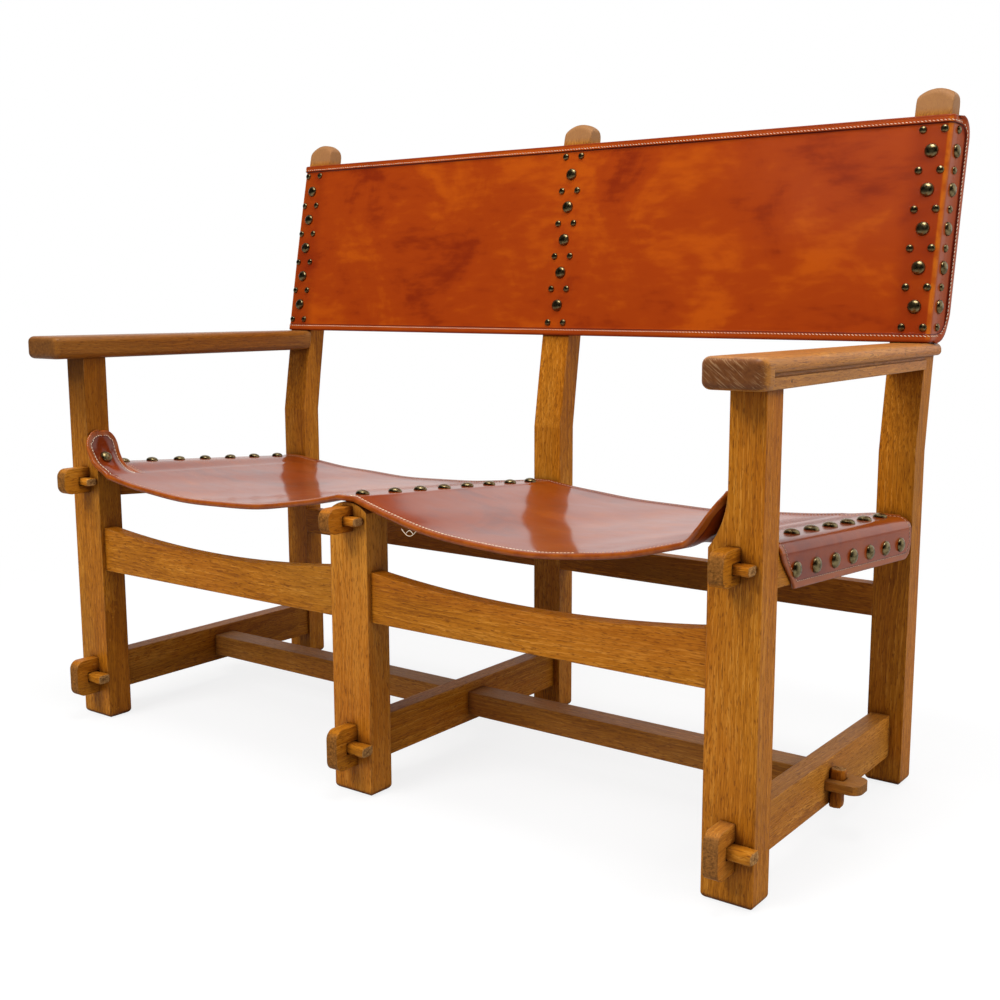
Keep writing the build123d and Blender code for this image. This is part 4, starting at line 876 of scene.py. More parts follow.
@dataclass
class Thread:
    """Rows of saddle stitching, gathered and made as one piece."""

    name: str
    pitch: float = 0.0052
    length: float = 0.0042
    width: float = 0.0009
    arch: float = 0.00035
    slant: float = 0.0
    stitches: list[tuple[Array, Array, Array]] = field(default_factory=list)

    def run(self, path: Array, out: Array, packed: float = 1.0) -> None:
        """Adds one row of stitches at even spacing, each turned a little across the row.

        Args:
            path: Points along the row, on the leather.
            out: The leather's outward normal at each point.
            packed: How many stitches stand where one does in a common row.
        """
        spacing = self.pitch / packed
        way = np.concatenate([[0.0], np.cumsum(np.linalg.norm(np.diff(path, axis=0), axis=1))])
        count = max(2, int(way[-1] / spacing))
        wanted = (np.arange(count) + 0.5) * way[-1] / count
        behind, here, ahead = (read_between(path, way, wanted + spacing * step / 4) for step in (-1, 0, 1))
        along = unit(ahead - behind)
        index = np.arange(len(path))
        normal = unit(read_between(out, index, np.interp(wanted, way, index)))
        turned = along * math.cos(self.slant) + np.cross(along, normal) * math.sin(self.slant)
        self.stitches.append((here, unit(turned), normal))

    def stitch(self) -> tuple[Array, Array]:
        """One stitch: a spindle along its second axis, six-sided, arched over the leather.

        The radius at share t of the length is the square root of sin(pi t); the middle rises by
        the arch times sin(pi t).

        Returns:
            Points and four-sided faces.
        """
        share = np.array([0.0, 0.12, 0.35, 0.65, 0.88, 1.0])[:, None]
        angle = np.arange(6) * math.pi / 3
        radius = self.width / 2 * np.sqrt(np.sin(math.pi * share)) + 1e-5
        rise = self.arch * np.sin(math.pi * share) - self.width * 0.2
        across, along = radius * np.cos(angle), (share - 0.5) * self.length + 0.0 * angle
        points = np.stack([across, along, radius * np.sin(angle) + rise], axis=-1).reshape(-1, 3)
        ends = np.array([[0, 1, 2, 5], [2, 3, 4, 5], [35, 32, 31, 30], [35, 34, 33, 32]])
        return points, np.concatenate([tube_faces(6, 6), ends])

    def make(self, material: Material) -> Piece:
        """Makes the stitching.

        Args:
            material: The thread's finish.

        Returns:
            The stitching.
        """
        places, along, out = (np.concatenate(rows) for rows in zip(*self.stitches))
        across = unit(np.cross(along, out))
        points, faces = stamped(*self.stitch(), places, (across, along, np.cross(across, along)))
        return add_piece(self.name, points, faces, material)


@dataclass
class SeatLeather:
    """The slung seat: two bays, an ear up each front post and a strip over each outer rail."""

    thickness: float = 0.004
    gap: float = 0.0003
    fall: float = 0.07
    rail_top_z: float = 0.4034
    front: float = -0.006
    rear: float = 0.447
    ridge_half: float = 0.013
    ridge_run: float = 0.007
    ridge_drop: float = 0.0014
    edge_x: float = 0.500
    right_bay: Point = (0.290, 0.041, 0.006)  # x and drop of its lowest point and drop of its edge
    left_bay: Point = (0.300, 0.033, 0.013)
    rear_bay: Point = (0.300, 0.018, 0.0054)
    bay_columns: int = 84
    ear_length: float = 0.061
    ear_top: float = 0.4575
    ear_reach: float = 0.0075
    ear_corner: float = 0.028
    ear_top_x: tuple[float, float] = (0.544, 0.5477)
    ear_bow: tuple[float, float, float] = (0.0045, 0.012, 0.009)
    hem_width: float = 0.022
    hem_extra: float = 0.0035
    apron_drop: float = 0.055
    bend_radius: float = 0.0163
    rail_inner_x: float = 0.542
    rail_round: float = 0.012
    apron_outer_x: float = 0.5963
    strip_start: float = 0.044
    strip_step: tuple[float, float] = (0.538, 0.560)
    apron_slant: float = 0.036
    apron_corner: float = 0.024
    roll_width: float = 0.009
    roll_height: float = 0.0022
    stitch_way: float = 0.0078
    second_way: float = 0.0050
    second_end_x: float = 0.17
    rear_way: float = 0.007
    ear_stitch_way: float = 0.0065
    strip_stitch_way: float = 0.008
    pale_end_x: float = 0.36
    loose_loops: tuple[tuple[float, ...], ...] = (
        (0.0985, 0.1225, 0.3735, 0.0075),  # from x, to x, height of the ends, sag
        (0.1060, 0.1170, 0.3695, -0.0035),
    )

    def __post_init__(self) -> None:
        """Works out where the ears end, and the setbacks of the rows beside and behind them."""
        self.notch = self.front + self.ear_length
        self.front_rows = graded(self.front, self.notch, 10, Crowded.BOTH)
        self.rear_rows = graded(self.notch, self.rear, 60, Crowded.BOTH)

    def share(self, setback: Array | float) -> Array:
        """Share of the way from the front edge to the rear edge."""
        return (setback - self.front) / (self.rear - self.front)

    def flat_z(self, setback: Array | float) -> Array:
        """Top of the leather where it lies on the rails, falling towards the back."""
        return self.rail_top_z - self.fall * setback + self.gap + self.thickness

    def bay(self, side: Side, share: float) -> list[float]:
        """Low point's x, its drop and the edge's drop, between the front and the rear values."""
        front = self.right_bay if side is Side.RIGHT else self.left_bay
        return [between(first, last, share) for first, last in zip(front, self.rear_bay)]

    def rear_roll(self, setback: Array) -> Array:
        """Rise of the rolled rear edge: a smooth step up to its height over its last part."""
        start = self.rear - self.roll_width
        return self.roll_height * smooth(setback, start - 0.0015, start + 0.0015)

    def section(self, side: Side, setback: float) -> Array:
        """Half a section of the bays: the flat ridge, its rounded shoulder and a circle's arc.

        Args:
            side: Which half.
            setback: Where the section is taken.

        Returns:
            Rows of x and z from the middle of the ridge to the bay's edge.
        """
        low_x, low_drop, edge_drop = self.bay(side, self.share(setback))
        top = self.flat_z(setback)
        flat = np.stack([np.linspace(0, self.ridge_half, 6), np.full(6, top)], axis=1)
        turn = np.linspace(0, 1, 7)[1:, None]
        ridge = np.array([self.ridge_half, top])
        shoulder = ridge + np.concatenate([self.ridge_run * turn, -self.ridge_drop * turn**2], axis=1)
        foot = ridge + np.array([self.ridge_run, -self.ridge_drop])
        low, edge = np.array([low_x, top - low_drop]), np.array([self.edge_x, top - edge_drop])
        bay = arc_through(foot, low, edge, np.linspace(0, 1, self.bay_columns)[1:])
        return np.concatenate([flat, shoulder, bay]) * np.array([side.value, 1])

    def edge_z(self, side: Side, setback: Array) -> Array:
        """Height of a bay's outer edge, which runs straight from the front to the rear."""
        first, last = (self.section(side, end)[-1][1] for end in (self.front, self.rear))
        return between(first, last, self.share(setback))

    def bays(self) -> Patch:
        """Both bays as one grid, ruled between a front and a rear section, with slow waves.

        Returns:
            The grid, front to back and left to right.
        """
        setback = np.concatenate([self.front_rows, self.rear_rows[1:]])
        share = self.share(setback)[:, None, None]
        halves = []
        for side in Side:
            first, last = (self.section(side, end)[None] for end in (self.front, self.rear))
            line = first * (1 - share) + last * share
            halves.append(line[:, ::-1] if side is Side.LEFT else line[:, 1:])
        line = np.concatenate(halves, axis=1)
        x, z = line[..., 0], line[..., 1]
        y = np.broadcast_to((FRONT_Y + setback)[:, None], x.shape)
        free = smooth(np.abs(x), 0.03, 0.12) * smooth(np.abs(x), 0.50, 0.42)
        wave = 0.0007 * np.sin(23 * x + 5 * y) * np.sin(9 * y + 2) + 0.0005 * np.sin(41 * x - 17 * y + 1)
        z = z + wave * free + self.rear_roll(setback)[:, None]
        ends = np.minimum(y - FRONT_Y - self.front, FRONT_Y + self.rear - y)
        edge = np.minimum(ends, np.hypot(np.abs(x) - self.edge_x, y - FRONT_Y - self.notch))
        return Patch(np.stack([x, y, z], axis=-1), edge)

    def ear(self, side: Side) -> Patch:
        """One ear: an arc up the post, its upper corners rounded in the side view.

        Every column is a circle's arc from the bay's edge to the ear's top, given by its two
        ends and its bow. The front column leans forward.

        Args:
            side: Which ear.

        Returns:
            The grid, from the bay's edge upwards and front to back.
        """
        setback = self.front_rows
        share = np.clip((setback - self.front) / self.hem_width, 0, 1)
        top_x = between(*self.ear_top_x, share)
        front_bow, rear_bow, more = self.ear_bow
        bow = between(front_bow, rear_bow, share) + more * smooth(setback, 0.030, 0.050)
        levels = graded(0.0, 1.0, 34, Crowded.NONE)
        levels = np.concatenate([levels[levels < 0.93], np.linspace(0.93, 1.0, 14)])[:, None]
        edge_z = self.edge_z(side, setback)
        run, rise = top_x - self.edge_x, self.ear_top - edge_z
        chord = np.hypot(run, rise)
        radius = (chord**2 / 4 + bow**2) / (2 * bow)
        centre_x = self.edge_x + run / 2 - (radius - bow) * rise / chord
        centre_z = edge_z + rise / 2 + (radius - bow) * run / chord
        start = np.arctan2(edge_z - centre_z, self.edge_x - centre_x)
        angle = between(start, np.arctan2(self.ear_top - centre_z, top_x - centre_x), levels)
        x = centre_x + radius * np.cos(angle)
        z = centre_z + radius * np.sin(angle)
        x[0], z[0] = self.edge_x, edge_z
        corner_z = self.ear_top - self.ear_corner
        cut = corner_cut(np.clip(z - corner_z, 0, self.ear_corner), self.ear_corner)
        across = (setback - self.front) / self.ear_length
        setback = self.front + cut + (self.ear_length - 2 * cut) * across
        y = FRONT_Y + setback - self.ear_reach * (1 - across) * smooth(levels, 0.05, 0.38)
        near = np.minimum(setback - self.front, self.notch - setback)
        rounded = way_to_corner(near, self.ear_top - z, self.ear_corner)
        straight = np.minimum(near, self.ear_top - z)
        edge = np.where((z > corner_z) & (near < self.ear_corner), rounded, straight)
        return Patch(np.stack([side.value * x, y, z], axis=-1), np.maximum(edge, 0))

    def strip_line(self, side: Side, setback: float) -> tuple[Array, Array]:
        """A section of the strip from the bay's edge, over the rail and down the apron.

        It rises in a smooth step, lies flat, bends down by a quarter circle and hangs straight.

        Args:
            side: Which strip.
            setback: Where the section is taken.

        Returns:
            Rows of x and z, and each point's drop below the start of the apron.
        """
        edge_drop = self.bay(side, self.share(setback))[2]
        top = self.flat_z(setback)
        flat_x = self.rail_inner_x + self.rail_round
        bend_x = self.apron_outer_x - self.bend_radius
        slope = np.linspace(0, 1, 14)
        turn = np.linspace(0, math.pi / 2, 14)[1:]
        bend = self.bend_radius * (1 - np.cos(turn))
        apron = graded(self.bend_radius, self.apron_drop, 14, Crowded.END)[1:]
        x = [
            between(self.edge_x, flat_x, slope),
            np.linspace(flat_x, bend_x, 8)[1:],
            bend_x + self.bend_radius * np.sin(turn),
            np.full(len(apron), self.apron_outer_x),
        ]
        z = [top - edge_drop * (1 - smooth(slope, 0, 1)), np.full(7, top), top - bend, top - apron]
        drop = np.concatenate([np.zeros(len(slope) + 7), bend, apron])
        return np.stack([side.value * np.concatenate(x), np.concatenate(z)], axis=1), drop

    def strip(self, side: Side) -> Patch:
        """One strip over its rail, its front edge stepped round the post and slanted down the apron.

        Args:
            side: Which strip.

        Returns:
            The grid, front to back and outwards, ruled between a front and a rear section.
        """
        share = (self.rear_rows - self.notch) / (self.rear - self.notch)
        first, drop = self.strip_line(side, self.strip_start)
        last, _ = self.strip_line(side, self.rear)
        hangs = drop > 0
        begin = between(self.notch, self.strip_start, smooth(np.abs(first[:, 0]), *self.strip_step))
        begin = begin + self.apron_slant * smooth(drop, self.bend_radius * 0.6, self.apron_drop * 1.1) * hangs
        near = np.clip(self.apron_corner - (self.apron_drop - drop), 0, self.apron_corner) * hangs
        end = self.rear - corner_cut(near, self.apron_corner)
        setback = between(begin[None], end[None], share[:, None])
        blend = (setback - self.strip_start) / (self.rear - self.strip_start)
        x = np.broadcast_to(first[None, :, 0], setback.shape)
        z = between(first[None, :, 1], last[None, :, 1], blend)
        z[:, 0] = self.edge_z(side, setback[:, 0])
        z = z + self.rear_roll(setback) * ~hangs
        rear_way = self.rear - setback
        hem = (self.apron_drop - drop + 1.0 * ~hangs)[None]
        edge = np.minimum(np.minimum((setback - begin[None]) * 0.9, rear_way), hem)
        rounded = np.minimum(way_to_corner(rear_way, hem, self.apron_corner), setback - begin[None])
        edge = np.where((rear_way < self.apron_corner) & (hem < self.apron_corner), rounded, edge)
        return Patch(np.stack([x, FRONT_Y + setback, z], axis=-1), np.maximum(edge, 0))

    def make(self, leather: Material, cream: Material, thread: Material) -> list[Piece]:
        """Makes the leather, thicker along its hemmed front and the ears, and its stitching.

        Args:
            leather: The leather's finish.
            cream: Finish of the thread along the front and round the ears.
            thread: Finish of the thread round the strips and along the rear.

        Returns:
            The leather, then its pale stitching and its darker stitching.
        """
        ears = [self.ear(side) for side in Side]
        patches = [self.bays(), *ears, *(self.strip(side) for side in Side)]
        up = ((0, 0, 1), (1, 0, 1), (-1, 0, 1), (-1, 0, 1), (1, 0, 1))
        hems = []
        for patch in patches:
            setback = patch.points[..., 1] - FRONT_Y - self.front
            hems.append(self.hem_extra * smooth(setback, self.hem_width + 0.003, self.hem_width - 0.003))
        for number, ear in enumerate(ears, 1):
            hems[number] = hems[number] * smooth(ear.points[..., 2], self.ear_top - 0.02, self.ear_top - 0.05)
        sheet = sheet_shell("seat_sheet", patches, self.thickness, leather, up, hems)
        pale, dull = Thread("seat_front_stitching", width=0.0010, length=0.0050), Thread("seat_stitching")
        self.hang_loose(pale)
        self.stitch_bays(pale, dull, patches[0])
        for number, (patch, towards) in enumerate(zip(patches[1:], up[1:])):
            if number < len(ears):
                self.stitch_ear(pale, patch, patch.normals(towards))
            else:
                self.stitch_strip(dull, patch, patch.normals(towards))
        return [sheet, pale.make(cream), dull.make(thread)]

    def hang_loose(self, rows: Thread) -> None:
        """Two loops of loose thread under the right bay's front edge, each half a sine wave.

        Args:
            rows: The thread that they belong to.
        """
        share = np.linspace(0, 1, 16)
        y = np.full(len(share), FRONT_Y + self.front + rows.width)
        for start_x, end_x, high, sag in self.loose_loops:
            x, z = between(start_x, end_x, share), high - sag * np.sin(math.pi * share)
            rows.run(np.stack([x, y, z], axis=1), np.tile((0.0, -1.0, 0.0), (len(share), 1)), packed=2.6)

    def stitch_bays(self, pale: Thread, dull: Thread, bays: Patch) -> None:
        """Rows along the front edge, a second one near the ridge, and one along the rear edge.

        Args:
            pale: Thread of the right bay's front edge.
            dull: Thread of the others.
            bays: The bays' grid.
        """
        normal = bays.normals((0, 0, 1))
        setback = bays.points[:, 0, 1] - FRONT_Y - self.front
        for way, rows, start_x, end_x in (
            (self.stitch_way, pale, 0.0, self.pale_end_x),
            (self.stitch_way, dull, -1.0, 0.0),
            (self.stitch_way, dull, self.pale_end_x, 1.0),
            (self.second_way, dull, 0.0, self.second_end_x),
            (self.rear - self.front - self.rear_way, dull, -1.0, 1.0),
        ):
            path, _, low = bays.row_at(way, setback)
            inside = (path[:, 0] > start_x) & (path[:, 0] < end_x)
            rows.run(path[inside], normal[low][inside])

    def stitch_ear(self, rows: Thread, ear: Patch, normal: Array) -> None:
        """A row up the front of an ear, over its top and down behind."""
        front, rear = (ear.side_line(normal, self.ear_stitch_way, last) for last in (False, True))
        rows.run(*(np.concatenate([up, down[::-1]]) for up, down in zip(front, rear)))

    def stitch_strip(self, rows: Thread, strip: Patch, normal: Array) -> None:
        """A row along the front of a strip, its lower edge and its rear.

        Args:
            rows: The thread.
            strip: The strip's grid.
            normal: Its normals.
        """
        half = len(strip.edge) // 2
        front, rear = (edge[:half] >= self.strip_stitch_way for edge in (strip.edge, strip.edge[::-1]))
        columns = np.flatnonzero(front.any(axis=0) & rear.any(axis=0))
        first, last = front.argmax(axis=0), len(strip.edge) - 1 - rear.argmax(axis=0)
        lowest = columns[-1]
        bottom = np.arange(first[lowest], last[lowest])
        row = np.concatenate([first[columns], bottom, last[columns][::-1]])
        column = np.concatenate([columns, np.full(len(bottom), lowest), columns[::-1]])
        rows.run(strip.points[row, column], normal[row, column])


@dataclass
class BackLeather:
    """The back: one sheet stretched over the rear posts and wrapped round the outer two."""

    thickness: float = 0.0042
    lift: float = 0.0045
    low_z: float = 0.6055
    top_z: float = 0.9024
    face_x: float = 0.5985
    corner: float = 0.007
    flare: float = 0.0045
    flare_way: tuple[float, float] = (0.028, 0.050)
    reach: float = 0.050
    flap_corner: float = 0.030
    hem_width: float = 0.0105
    hem_height: float = 0.0026
    stitch_way: float = 0.0078
    low_stitch_way: float = 0.0082
    stitch_clear: float = 0.0072  # no stitch of those rows stands nearer to a free edge

    def profile(self) -> tuple[Array, Array]:
        """The section across the back: flap, quarter circle, face, and the same again.

        Returns:
            X and the way back from the front face, for each column.
        """
        flap = graded(self.reach + self.lift, 0.008, 10, Crowded.START, HEMMED_EDGE)
        turn = np.linspace(0, math.pi / 2, 8)[1:-1]
        flat = self.face_x - self.corner - np.linspace(0, 0.07, 24)
        fold = self.face_x - self.corner * (1 - np.cos(turn))
        half_x = np.concatenate([np.full(len(flap), self.face_x), fold, flat])
        half_back = np.concatenate([flap, self.corner * (1 - np.sin(turn)), np.zeros(len(flat))])
        wide = np.linspace(-flat[-1], flat[-1], 150)[1:-1]
        x = np.concatenate([-half_x, wide, half_x[::-1]])
        return x, np.concatenate([half_back, np.zeros(len(wide)), half_back[::-1]])

    def face(self) -> Patch:
        """The outer face of the back, on the rake of the posts, with slow waves between them.

        A flap narrows towards its rounded corners, and flares out at its rear rim.

        Returns:
            The grid, from the bottom upwards and from left to right.
        """
        x, back = self.profile()
        on_flap = np.abs(x) > self.face_x - 1e-6
        z = graded(self.low_z, self.top_z, 44, Crowded.BOTH, HEMMED_EDGE)[:, None]
        near = np.minimum(z - self.low_z, self.top_z - z)
        inset = np.clip(self.flap_corner - near, 0, self.flap_corner)
        full = self.reach + self.lift
        reach = full - corner_cut(inset, self.flap_corner)
        squeeze = (reach - self.corner) / (full - self.corner)
        way = np.where(on_flap & (back > self.corner), self.corner + (back - self.corner) * squeeze, back)
        bulge = smooth(np.abs(x), 0.03, 0.16) * smooth(np.abs(x), 0.56, 0.43)
        wave = 0.0012 * np.sin(9.0 * x) * np.sin((z - 0.6) * 14.0)
        wave = wave + 0.0008 * np.sin(17.0 * x + 1.0) * np.cos((z - 0.75) * 21.0)
        y = RAKE.y(z, self.lift) + way - wave * bulge
        wide = x + np.sign(x) * self.flare * smooth(back * on_flap, *self.flare_way)
        edge = np.where(on_flap, np.minimum(reach - way, near), near)
        rounded = np.minimum(way_to_corner(full - way, near, self.flap_corner), near)
        corner = (near < self.flap_corner) & (way > full - self.flap_corner) & on_flap
        edge = np.where(corner, rounded, edge)
        points = np.stack([np.broadcast_to(wide, y.shape), y, np.broadcast_to(z, y.shape)], axis=-1)
        return Patch(points, np.maximum(edge, 0))

    def make(self, leather: Material, thread: Material) -> list[Piece]:
        """Makes the leather with the hem raised round its edge, and its stitching.

        Args:
            leather: The leather's finish.
            thread: The thread's finish.

        Returns:
            The leather, then its stitching.
        """
        front = (0, -1, 0)
        patch = self.face()
        out = patch.normals(front)
        raised = self.hem_height * smooth(patch.edge, self.hem_width + 0.0004, self.hem_width - 0.0004)
        lower_below = smooth(patch.points[..., 2], self.low_z + 0.02, self.low_z + 0.04) * 0.6 + 0.4
        face = Patch(patch.points + out * (raised * lower_below)[..., None], patch.edge)
        rows = Thread("back_stitching", slant=0.35)
        self.stitch(rows, face, out)
        return [sheet_shell("back_sheet", [face], self.thickness, leather, [front]), rows.make(thread)]

    def stitch(self, rows: Thread, face: Patch, normal: Array) -> None:
        """Rows in from the edge: along the bottom and the top, and down the rims of the flaps.

        Args:
            rows: The thread.
            face: The back's grid, hem and all.
            normal: The normals of the leather under the hem.
        """
        for height in (self.top_z - self.stitch_way, self.low_z + self.low_stitch_way):
            path, edge, low = face.row_at(height, face.points[:, 0, 2])
            inside = edge > self.stitch_clear
            rows.run(path[inside], normal[low][inside])
        for last in (False, True):
            rows.run(*face.side_line(normal, self.stitch_way, last, 3))


@dataclass
class DomedNails:
    """Forged nails with a round head that stands on the leather."""

    seat: SeatLeather
    back: BackLeather
    large: tuple[float, float] = (0.00935, 0.0060)  # radius and height of a head
    small: tuple[float, float] = (0.00525, 0.0040)
    rim: float = 0.0008
    line_x: float = 0.574
    pair_x: float = 0.0145
    large_z: tuple[float, float] = (0.652, 0.051)  # a row's start and pitch, as in every row
    small_z: tuple[float, float] = (0.6775, 0.051)
    small_end_z: tuple[float, float] = (0.625, 0.884)
    flap_setback: float = 0.020
    first_centre: float = 0.029
    centre_row: tuple[float, float] = (0.093, 0.0524)
    rail_x: float = 0.567
    rail_row: tuple[float, float] = (0.076, 0.055)
    apron_drop: float = 0.033
    apron_row: tuple[float, float] = (0.080, 0.054)
    ear_setback: float = 0.0175
    ear_z: float = 0.4165
    ear_lift: float = 0.0009

    def row(self, spaced: tuple[float, float], count: int) -> Array:
        """Places of a row of nails, given by its start and its pitch."""
        return spaced[0] + spaced[1] * np.arange(count)

    def head(self, radius: float, height: float) -> tuple[Array, Array]:
        """One head: a low rim with a dome on it, whose section is half an ellipse.

        Args:
            radius: Radius of the rim.
            height: Height of the dome.

        Returns:
            Points and faces.
        """
        share = np.array([0.001, 0.16, 0.34, 0.52, 0.70, 0.84, 0.94, 1.0, 1.0, 0.9])
        dome = self.rim + (height - self.rim) * np.sqrt(1 - share[:7] ** 2 * 0.999)
        level = np.concatenate([dome, [self.rim, 0.0, -0.0006]])[:, None]
        angle = np.arange(24) * math.pi / 12
        x, y = radius * share[:, None] * np.cos(angle), radius * share[:, None] * np.sin(angle)
        points = np.stack([x, y, np.broadcast_to(level, x.shape)], axis=-1).reshape(-1, 3)
        return points, tube_faces(len(share), len(angle))

    def group(
        self, node: str, places: Sequence[Any], out: Sequence[Any], seed: int, material: Material
    ) -> Piece:
        """Many heads as one piece, each turned and tilted a little.

        Args:
            node: The node that they stand for.
            places: X, Y and Z of the nails' feet.
            out: X, Y and Z of a way out of the leather there.
            seed: Seed of the small differences.
            material: The nails' finish.

        Returns:
            The piece.
        """
        places = np.stack(places, axis=1)
        out = unit(np.stack(np.broadcast_arrays(*out, places[:, 0])[:3], axis=1).astype(float))
        chance = np.random.default_rng(seed)
        tilt = unit(out + chance.normal(0, 0.035, out.shape))
        across = unit(np.cross(tilt, chance.normal(0, 1, out.shape)))
        shape, faces = self.head(*(self.small if node.endswith("small") else self.large))
        points, all_faces = stamped(shape, faces, places, (across, np.cross(tilt, across), tilt))
        return add_piece("domes_" + node, points, all_faces, material)

    def make(self, material: Material) -> dict[str, Piece]:
        """Makes every group of nails, each for the node of its name.

        Args:
            material: The nails' finish.

        Returns:
            Each node's name and the piece that stands for it.
        """
        groups = self.on_back() | self.on_flaps() | self.on_seat() | {"ear_nails": self.on_ears()}
        seeds = (0, 1, 10, 11, 20, 21, 22, 23)
        made = {}
        for seed, (node, spots) in zip(seeds, groups.items()):
            made[node] = self.group(node, *spots, seed, material)
        return made

    def heights(self) -> dict[str, Array]:
        """Heights of the large and of the small nails, on the back and on its flaps."""
        small = np.insert(self.row(self.small_z, 4), (0, 4), self.small_end_z)
        return {"large": self.row(self.large_z, 5), "small": small}

    def on_back(self) -> dict[str, Spots]:
        """Three lines down the posts: large nails, and pairs of small ones between them.

        Returns:
            For each node, where its nails stand and which way they look.
        """
        spots = {}
        for size, heights in self.heights().items():
            pair = (0,) if size == "large" else (-self.pair_x, self.pair_x)
            lines = (-self.line_x, 0, self.line_x)
            x, z = np.array([(line + step, z) for line in lines for z in heights for step in pair]).T
            y = RAKE.y(z, self.back.lift)
            spots["back_nails_" + size] = (x, y, z), (0, y - RAKE.centre_y, z - RAKE.centre_z)
        return spots

    def on_flaps(self) -> dict[str, Spots]:
        """One line of large and one of small nails down each flap, level with those in front.

        Returns:
            For each node, where its nails stand and which way they look.
        """
        spots = {}
        for size, heights in self.heights().items():
            x, z = np.array([(side.value, z) for side in Side for z in heights]).T
            places = (x * self.back.face_x, RAKE.y(z) + self.flap_setback, z)
            spots["flap_nails_" + size] = places, (x, 0, 0)
        return spots

    def on_seat(self) -> dict[str, Spots]:
        """One row along the centre, one on top of each outer rail and one along each apron.

        Returns:
            For each node, where its nails stand and which way they look.
        """
        spots = {}
        rails, aprons = ((-x, x) for x in (self.rail_x, self.seat.apron_outer_x))
        centre = np.insert(self.row(self.centre_row, 7), 0, self.first_centre)
        for name, lines, ways, drop in (
            ("centre", (0.0,), centre, 0.0),
            ("top", rails, self.row(self.rail_row, 7), 0.0),
            ("side", aprons, self.row(self.apron_row, 7), self.apron_drop),
        ):
            x, way = np.array([(x, way) for x in lines for way in ways]).T
            out = (x, 0, 0) if drop else (0, self.seat.fall, 1)
            spots["seat_nails_" + name] = (x, FRONT_Y + way, self.seat.flat_z(way) - drop), out
        return spots

    def on_ears(self) -> Spots:
        """One nail on each ear, at the point of the leather that is nearest to its place.

        Returns:
            Where they stand and which way they look.
        """
        places, outs = [], []
        for side in Side:
            ear = self.seat.ear(side)
            normal = ear.normals((-side.value, 0, 0))
            way = np.linalg.norm(ear.points[..., 1:] - (FRONT_Y + self.ear_setback, self.ear_z), axis=-1)
            spot = np.unravel_index(way.argmin(), way.shape)
            places.append(ear.points[spot] + normal[spot] * self.ear_lift)
            outs.append(normal[spot])
        return np.transpose(places), np.transpose(outs)


